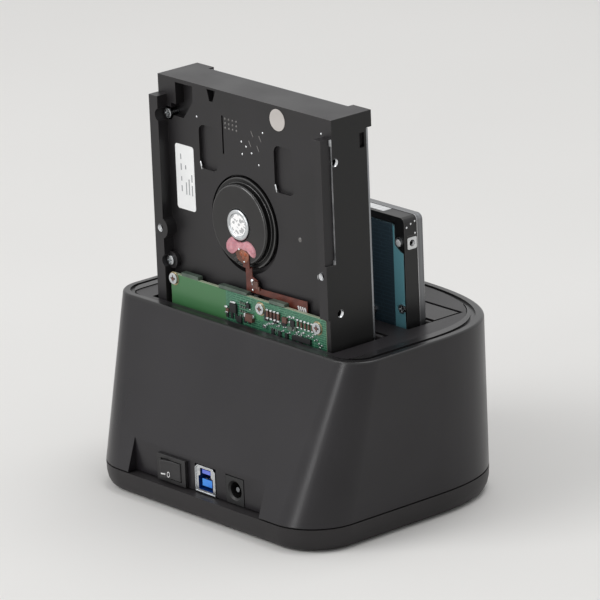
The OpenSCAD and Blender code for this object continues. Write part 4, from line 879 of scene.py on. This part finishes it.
board_piece("board_hidden_parts", [(x, z, 1.1, 0.8, 0.45) for x, z in zip(hidden_x[free], hidden_z[free])],
            ceramic_brown, rounding_mm=0.06)
board_piece("board_bare_copper", [(-8.9, 62.3, 4.3, 5.4, 0.03)], patch_green, rounding_mm=0)
board_piece("board_connectors_behind", [(32.2, 68.6, 10.0, 1.5, -2.6), (6.5, 68.4, 16.5, 1.5, -2.6),
                                        (-19.5, 68.4, 9.0, 1.6, -2.6)], ceramic_grey)
print("pads:", 2 * len(PAD_SPOTS), "hidden parts:", int(free.sum()))

# %% [markdown]
# ## Screws that hold the board
# Each screw presses on a ring of tinned copper, and a dark six-sided disc in the socket of its head is
# painted shade.

# %% Screws that hold the board
SCREW_SPOTS = [(41.6, 65.9), (-10.0, 64.5), (-43.2, 63.9)]
on_large("board_screw_rings",
         together([turned(ring(2.2, 2.75, 0.07), (x, BOARD_Y, z)) for x, z in SCREW_SPOTS]),
         pad_tinned, "board")
# Painted shade: a dark disc in the socket of each screw head.
on_large("board_screw_socket_shade",
         together([turned(disc(0.85, 0.06), (x, -0.08, z), steps=6) for x, z in SCREW_SPOTS]),
         ceramic_brown, "screws")
print("screws in the board:", len(SCREW_SPOTS))

# %% [markdown]
# ## The film cable and its solder
# A thin film carries the motor's current down to the board. It is soldered at both ends, so bright
# domes of tin stand on it, and four pins pass through its far end.

# %% The film cable and its solder
FILM_Y = -3.5
on_large("film_solder", domes([(0.95, 0.7, (-2.9, FILM_Y, 73.7), 14), (0.6, 0.45, (-3.0, FILM_Y, 72.3), 12),
                               (0.55, 0.4, (-2.9, FILM_Y, 70.0), 12)]), tin_steel, "flex")
on_large("film_stiffener", blocks([[-5.0, FILM_Y + 0.35, 72.6], [-6.9, FILM_Y + 0.3, 71.4]],
                                  [[3.2, 0.7, 2.9], [0.9, 0.6, 1.6]]), ceramic_brown, "flex", rounding_mm=0.1)
on_large("film_pins", blocks([[x, FILM_Y + 0.2, 68.0] for x in (-30.2, -31.5, -32.8, -34.1)],
                             [0.62, 0.5, 3.1], turns=-22.0), mark_ink, "flex", rounding_mm=0.08)
print("film cable dressed")

# %% [markdown]
# ## The glue's puddle
# Sealant was squeezed on by hand over the place where the film leaves the motor, so it is a flat
# puddle with swollen lobes. Its outline is walked by points and rounded. Every point of the puddle
# lies on a line from its middle to that outline, and the height falls to nothing at the rim, like
# the side of a drop.

# %% The glue's puddle
MOTOR = np.array([2.9, 0.0, LARGE_LENGTH - 51.6])
CUP_Y = -2.5
GLUE_OUTLINE = np.array([
    (7.0, 90.1), (9.2, 88.6), (10.8, 86.6), (10.9, 84.2), (8.9, 82.9), (6.6, 82.8), (4.6, 84.9), (1.9, 86.0),
    (-0.7, 85.6), (-3.1, 85.9), (-4.2, 84.5), (-5.6, 83.4), (-6.9, 84.8), (-6.6, 87.4), (-4.2, 89.4),
    (-2.0, 90.0), (0.4, 88.9), (2.9, 88.6), (5.1, 89.2)])
GLUE_LOBES = [(8.4, 86.0, 3.0, 0.75), (5.0, 87.6, 2.0, 0.4), (0.6, 87.6, 2.2, 0.55), (-3.0, 88.0, 2.0, 0.5),
              (-5.4, 85.6, 1.6, 0.6)]


def puddle(outline, middle, lobes, floor_y, rings=12, steps=96, body=0.55, wave=0.1):
    """A drop on a plate: points run from the middle to the outline, height = swell * sqrt(1 - s^4)."""
    spot = np.linspace(0, len(outline), steps, endpoint=False)
    known = np.arange(len(outline) + 1)
    rim = np.stack([np.interp(spot, known, np.append(outline[:, k], outline[0, k])) for k in (0, 1)], -1)
    kernel = np.hanning(7)[1:-1]
    around = np.concatenate([rim[-2:], rim, rim[:2]])
    rim = np.stack([np.convolve(around[:, k], kernel / kernel.sum(), "valid") for k in (0, 1)], -1)
    share = np.linspace(0, 1, rings)[:, None, None]
    flat = np.asarray(middle) + share * (rim - np.asarray(middle))
    swell = body + sum(tall * np.exp(-((flat[..., 0] - x) ** 2 + (flat[..., 1] - z) ** 2) / wide ** 2)
                       for x, z, wide, tall in lobes)
    ripple = wave * np.sin(2.3 * flat[..., 0] + 1.1) * np.cos(2.7 * flat[..., 1])
    height = (swell + ripple) * np.sqrt(np.clip(1 - share[..., 0] ** 4, 0, None))
    top = np.stack([flat[..., 0], floor_y + height, flat[..., 1]], -1).reshape(-1, 3)
    under = np.stack([flat[..., 0], floor_y - 0.03 + 0 * height, flat[..., 1]], -1)[::-1].reshape(-1, 3)
    return np.concatenate([top, under]), net(2 * rings, steps, True)


print("glue spans", (np.ptp(GLUE_OUTLINE, axis=0)).round(1), "mm")

# %% [markdown]
# ## Pieces round the motor's joint
# The pink puddle stands for the plain one of the frame, and a round paper sticker covers the
# spindle. The film's end is soldered under the glue, so dried flux in two browns, a black drop and
# two bright specks of tin look out at its lower rim.

# %% Pieces round the motor's joint
glue = on_large("motor_glue", puddle(GLUE_OUTLINE, (0.0, 87.8), GLUE_LOBES, CUP_Y), glue_pink, "glue",
                smooth=180)
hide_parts("large_drive_glue")
on_large("motor_paper_disc", turned(disc(4.35, 0.1), MOTOR + [0, -2.3, 0], steps=48), speckled_paper, "hub")
FLUX_OUTLINE = np.array([(5.4, 84.8), (2.4, 86.0), (-0.6, 85.6), (-2.8, 84.6), (-2.6, 82.4), (-0.9, 80.6),
                         (1.6, 80.4), (4.2, 81.6)])
on_large("motor_flux_puddle",
         puddle(FLUX_OUTLINE, (1.0, 83.4), [(0.4, 84.2, 1.2, 0.2)], CUP_Y + 0.3, 8, 64, 0.14, 0.06),
         flux_brown, "flex", smooth=180)
on_large("motor_amber_drops", domes([(1.1, 0.5, (1.4, -2.2, 84.1), 14), (0.9, 0.45, (-0.9, -2.2, 84.3), 14),
                                     (0.8, 0.4, (0.3, -2.2, 82.6), 14)]), amber_flux, "flex")
on_large("motor_joint_glints",
         domes([(0.5, 0.5, (2.3, -1.9, 85.9), 12), (0.45, 0.4, (-0.1, -2.2, 81.2), 12)]), tin_steel, "flex")
on_large("motor_black_drop", domes([(1.3, 0.5, (4.9, CUP_Y, 81.2), 16)]), motor_coat, "motor")
print("pieces round the motor:", sum(name.startswith("motor_") for name in pieces))

# %% [markdown]
# ## Marks of the foundry on the casting
# Ejector pins leave round dots, inspectors leave punch marks, and a drill leaves a bright cone in
# the coat. They are what tells a casting from a plain plate. The raised dots, the short strokes and
# the drilled cone are in the coat's rubbed edge finish, paler for wear and as a painted highlight,
# and the punch marks are bare metal.

# %% Marks of the foundry on the casting
FLOOR_Y = -5.0
PUNCHED = [(2.0, 128.6), (-0.7, 127.1), (1.8, 123.6), (-3.8, 125.0), (-7.8, 121.0), (-10.8, 134.5),
           (28.2, 133.7), (-44.9, 140.7)]
CAST_DOTS = [(x, z) for x in (11.2, 9.0, 6.8, 4.6) for z in (136.0, 134.2, 132.4)]
SHORT_STROKES = [(-4.6, 132.9), (-3.1, 128.7), (-9.2, 131.8), (-7.8, 127.6)]
on_large("casting_punch_marks", domes([(0.42, 0.14, (x, FLOOR_Y, z), 10) for x, z in PUNCHED], steps=4),
         bare_aluminium, "base")
on_large("casting_raised_dots", domes([(0.5, 0.2, (x, FLOOR_Y, z), 10) for x, z in CAST_DOTS], steps=4),
         casting_edge_wear_and_highlight, "base")
on_large("casting_raised_strokes",
         blocks([[x, FLOOR_Y + 0.06, z] for x, z in SHORT_STROKES], [0.45, 0.12, 2.6], turns=-30.0),
         casting_edge_wear_and_highlight, "base", rounding_mm=0.05)
on_large("casting_drilled_cone", domes([(0.95, 0.2, (-30.3, FLOOR_Y, 95.6), 20)]), casting_edge_wear_and_highlight, "base")
# Painted highlights: bright slivers at the lower corners of two recesses.
RECESS_HIGHLIGHTS = [(26.8, 114.3), (-17.3, 113.6)]
on_large("casting_recess_highlights",
         blocks([[x, FLOOR_Y - 0.2, z] for x, z in RECESS_HIGHLIGHTS], [0.7, 0.5, 3.4], turns=-16.0),
         bare_aluminium, "base", rounding_mm=0.2)
# Painted highlight: a pale strip with two bright ends along the ledge of the rail.
LEDGE_LOW, LEDGE_HIGH = 90.2, LARGE_LENGTH - 7.5
on_large("casting_ledge_highlight", blocks(
    [[0.48 - LARGE_HALF, FLOOR_Y + 0.02, (LEDGE_LOW + LEDGE_HIGH) / 2],
     [0.55 - LARGE_HALF, FLOOR_Y + 0.3, LEDGE_LOW + 0.5],
     [0.55 - LARGE_HALF, FLOOR_Y + 0.3, LEDGE_HIGH - 1.3]],
    [[0.75, 0.08, LEDGE_HIGH - LEDGE_LOW], [0.9, 1.0, 1.9], [0.9, 0.9, 2.4]]), ledge_highlight_metal, "base")
print("marks on the casting:", len(PUNCHED) + len(CAST_DOTS) + len(SHORT_STROKES) + 1)

# %% [markdown]
# ## Threads in the fixing holes
# The holes in the sides and rails are tapped after the casting was dipped, so their threads are
# bare, and the light catches them as bright crescents. A zigzag profile turned round the hole's
# axis gives the ridges. A true thread climbs as it turns, which can't be seen at this size.

# %% Threads in the fixing holes
def threads(centre, facing, bore_r, depth, outward, pitch, ridge):
    """A sleeve whose inner wall zigzags once in each pitch between the bore and the bore less a ridge."""
    turns_in = int(depth / pitch * 2)
    heights = -np.linspace(0.15, depth, turns_in + 1)
    radii = bore_r - ridge * (np.arange(turns_in + 1) % 2)
    wall = [*zip(radii, heights), (bore_r + 0.12, heights[-1]), (bore_r + 0.12, heights[0]),
            (radii[0], heights[0])]
    return turned([(r, outward * h) for r, h in wall], centre, facing, 24)


def both_sides(make, heights):
    """One surface for each side of a drive and each height on it."""
    return together([make(side, z) for side in (-1, 1) for z in heights])


LARGE_HOLES = (28.5, 70.1, LARGE_LENGTH - 16.9)
RAIL_HOLES = (41.3, 85.7)
SMALL_HOLES = (14.0, SMALL_LENGTH - 10.5)
on_large("large_drive_side_threads", both_sides(
    lambda side, z: threads((side * LARGE_HALF, -6.35, z), "x", 1.6, 1.5, side, 0.5, 0.18), LARGE_HOLES),
    bare_aluminium, "base", smooth=20)
on_large("large_drive_rail_threads", both_sides(
    lambda side, z: threads((side * (LARGE_HALF - 3.2), 0, z), "y", 1.6, 2.0, 1, 0.6, 0.22), RAIL_HOLES),
    bare_aluminium, "base", smooth=20)
on_small("small_drive_threads", both_sides(
    lambda side, z: threads((side * SMALL_HALF, -3.75, z), "x", 1.3, 1.2, side, 0.5, 0.15), SMALL_HOLES),
    bare_aluminium, "base", smooth=20)
print("threaded holes:", 2 * len(LARGE_HOLES + RAIL_HOLES + SMALL_HOLES))

# %% [markdown]
# ## Bare metal on the small drive
# The pads round the fixing holes and a strip on the end are milled after the coat goes on. Round
# them are a few tiny bright pits of bare metal, and one screw head carries a painted highlight, a
# nearly white dome.

# %% Bare metal on the small drive
def milled_pad(centre, half, bore_r, proud, side, steps=32):
    """A square plate round a hole: each ray from the middle runs from the circle out to the square."""
    angle = np.linspace(0, 2 * np.pi, steps, endpoint=False) + np.pi / steps
    reach = half / np.maximum(np.abs(np.cos(angle)), np.abs(np.sin(angle)))
    radii = np.stack([bore_r + 0 * angle, bore_r + 0 * angle, reach, reach, bore_r + 0 * angle])
    heights = np.array([0, proud, proud, 0, 0])[:, None] * side + 0 * angle
    points = np.stack([heights, radii * np.cos(angle), radii * np.sin(angle)], -1)
    return points.reshape(-1, 3) + np.asarray(centre, float), net(5, steps, True)


on_small("small_drive_milled_pads", both_sides(
    lambda side, z: milled_pad((side * (SMALL_HALF - 0.02), -3.75, z), 2.4, 1.32, 0.03, side), SMALL_HOLES),
    milled_aluminium, "base")
on_small("small_drive_milled_strip", blocks([[-12.5, -3.9, SMALL_LENGTH + 0.02]], [17.5, 4.4, 0.06]),
         milled_aluminium, "base")
SIDE_DOTS = [(-3.5, 97.2), (-1.35, 96.1), (-5.6, 97.9), (-5.6, 93.1)]
on_small("small_drive_side_dots",
         domes([(0.42, -0.08, (0.2 - SMALL_HALF, y, z), 10) for y, z in SIDE_DOTS], "x", 4),
         bare_aluminium, "base")
HEAD_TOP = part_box("small_drive_screws")[1][1] / MM - SMALL[1]
# Painted highlight: a nearly white dome on one screw head.
on_small("small_drive_head_highlight",
         domes([(1.5, 0.5, (3.2 - SMALL_HALF, HEAD_TOP - 0.15, SMALL_LENGTH - 10.2), 20)]),
         screw_head_highlight, "screws")
print("dots on the small drive's side:", len(SIDE_DOTS), "screw heads stand at", round(HEAD_TOP, 2), "mm")

# %% [markdown]
# ## Ports: marks on the rocker
# The rocker carries a dash and a ring, printed in white by a soft pad, as every power switch does.

# %% Ports: marks on the rocker
SWITCH_X, ROCKER_Y, PORT_Z, ROCKER_TILT = 18.2, 52.8, 15.8, 8.0


def on_rocker(points):
    """Points drawn on the raised half of the rocker, whose face climbs 0.75 in 5.1, turned by its tilt."""
    across, lift, up = points.T
    out = 3.1 + 0.75 / 5.1 * across + lift
    tilt = math.radians(ROCKER_TILT)
    return np.stack([SWITCH_X + across * math.cos(tilt) - out * math.sin(tilt),
                     ROCKER_Y + across * math.sin(tilt) + out * math.cos(tilt), PORT_Z + up], -1)


print_points, print_faces = together([blocks([[3.8, 0.02, -1.9]], [2.0, 0.06, 0.55]),
                                      turned(ring(0.85, 1.2, 0.05), (0, 0, 0))])
print_points[8:] = print_points[8:] * (0.55, 1, 1) + (1.35, 0, -1.9)
piece_of("rocker_print", (on_rocker(print_points), print_faces), mark_ink, "rocker")
print("rocker stands", ROCKER_TILT, "degrees from level")

# %% [markdown]
# ## Ports: frame and tongues of the data socket
# A thin bright frame of folded steel shows round the opening, and the two tongues stand in it.
# They are the insert's blue nylon painted lighter as lit faces, the upper one paler with a painted sheen.

# %% Ports: frame and tongues of the data socket
socket_low, socket_high = (np.array(corner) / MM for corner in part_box("usb_insulator"))
SOCKET_X = (socket_low[0] + socket_high[0]) / 2
SOCKET_OUTER = np.array([(-5.55, -5.15), (0, -5.15), (5.55, -5.15), (5.55, 0.9), (5.55, 3.95), (4.35, 5.15),
                         (0, 5.15), (-4.35, 5.15), (-5.55, 3.95), (-5.55, 0.9)])
SOCKET_MOUTH = np.array([(-4.3, -4.4), (0, -4.4), (4.3, -4.4), (4.3, 0.9), (3.2, 1.6), (3.2, 4.5),
                         (0, 4.5), (-3.2, 4.5), (-3.2, 1.6), (-4.3, 0.9)])


def bordered(outer, inner, thick):
    """A flat frame: each corner of the outer outline is joined to the matching one of the opening."""
    loops = np.stack([inner, inner, outer, outer, inner])
    depth = np.array([0, thick, thick, 0, 0])[:, None] + 0 * loops[..., 0]
    return np.stack([loops[..., 0], depth, loops[..., 1]], -1).reshape(-1, 3), net(5, len(outer), True)


piece_of("data_socket_face", bordered(SOCKET_OUTER, SOCKET_MOUTH, 0.06), tin_steel, "usb_shell",
         (SOCKET_X, socket_high[1] - 0.01, PORT_Z))
piece_of("data_socket_lower_tongue", blocks([[SOCKET_X, socket_high[1] - 0.78, 14.35]], [5.7, 0.1, 2.95]),
         tongue_blue_lit, "usb_insulator", rounding_mm=0.03)
piece_of("data_socket_upper_tongue", blocks([[SOCKET_X, socket_high[1] - 0.5, 18.9]], [4.9, 0.1, 1.65]),
         tongue_blue_sheen, "usb_insulator", rounding_mm=0.03)
print("front of the data socket:", socket_high.round(2))

# %% [markdown]
# ## A label with nothing to read
# The white label keeps its place and its paper, and short grey strokes stand where a label is
# printed, without any letter or number.

# %% A label with nothing to read
LABEL_Y = FLOOR_Y + 0.15
LABEL_TOP = LARGE_LENGTH - 26.4
STROKES = [(38.8, 5.0, 2.2), (38.8, 9.2, 2.6), (38.8, 14.0, 1.8), (38.8, 18.0, 2.4), (36.1, 9.0, 1.6),
           (36.1, 17.6, 5.0), (34.4, 16.8, 6.4), (32.6, 13.0, 3.0), (32.6, 18.0, 4.2)]
on_large("label_strokes", blocks([[x, LABEL_Y + 0.01, LABEL_TOP - down] for x, down, _ in STROKES],
                                 [[0.55, 0.03, long] for _, _, long in STROKES]), faint_ink, "label")
print("strokes on the label:", len(STROKES))

# %% [markdown]
# ## Floor
# The floor is a plain pale sheet, seen by the camera and by every reflection.

# %% Floor
FLOOR_HALF = 7.0
floor_material, tree, shader, place = finish_with("floor_matt_white", {"Specular IOR Level": 0.1})
mottled(tree, shader, place, "#ecebe9", "#e9e8e6", 400, (0.88, 0.92))
floor_mesh = bpy.data.meshes.new("floor")
floor_mesh.from_pydata([(FLOOR_HALF * x, FLOOR_HALF * y, 0) for x, y in ((-1, -1), (1, -1), (1, 1), (-1, 1))],
                       [], [(0, 1, 2, 3)])
floor_mesh.materials.append(floor_material)
floor = stood("floor", floor_mesh)
print("floor is", 2 * FLOOR_HALF, "m wide")

# %% [markdown]
# ## Lamps and sky
# One large soft lamp above the ports' side does most of the work, one from overhead lights the
# tops, and a tall narrow one draws the soft bright band along the near corner of the housing. The
# sky fills the rest. Together they light white paper to about its own colour.

# %% Lamps and sky
def soft_lamp(name, place, target, size, watts, tall=None):
    """An area lamp that faces its target, size wide and as tall, unless it is a strip."""
    lamp = bpy.data.lights.new(name, "AREA")
    lamp.shape = "RECTANGLE"
    lamp.size = size
    lamp.size_y = tall or size
    lamp.energy = watts
    holder = stood(name, lamp)
    holder.location = place
    holder.rotation_euler = (Vector(target) - Vector(place)).to_track_quat("-Z", "Y").to_euler()


soft_lamp("key_lamp", (0.7, 1.5, 1.35), (0, 0, 0.08), 1.1, 15.5)
soft_lamp("top_lamp", (-0.2, -0.5, 2.0), (0, 0, 0.08), 1.2, 14)
soft_lamp("strip_lamp", (0.06, 2.1, 0.45), (0, 0, 0.06), 0.3, 6, tall=0.9)

world = bpy.data.worlds.new("studio")
bpy.context.scene.world = world
world.use_nodes = True
sky = world.node_tree
sky.nodes.clear()
path = add(sky, "LightPath")
seen = add(sky, "Math", {0: path.outputs["Is Camera Ray"], 1: path.outputs["Is Glossy Ray"]},
           operation="MAXIMUM")
seen = add(sky, "Math", {0: seen.outputs["Value"], 1: path.outputs["Is Transmission Ray"]},
           operation="MAXIMUM")
level = add(sky, "MapRange", {"Value": seen.outputs["Value"], "To Min": 0.45, "To Max": 1.0})
air = add(sky, "Background", {"Color": linear("#ffffff"), "Strength": level.outputs["Result"]})
add(sky, "OutputWorld", {"Surface": air.outputs["Background"]})
bpy.context.scene.view_settings.view_transform = "Standard"
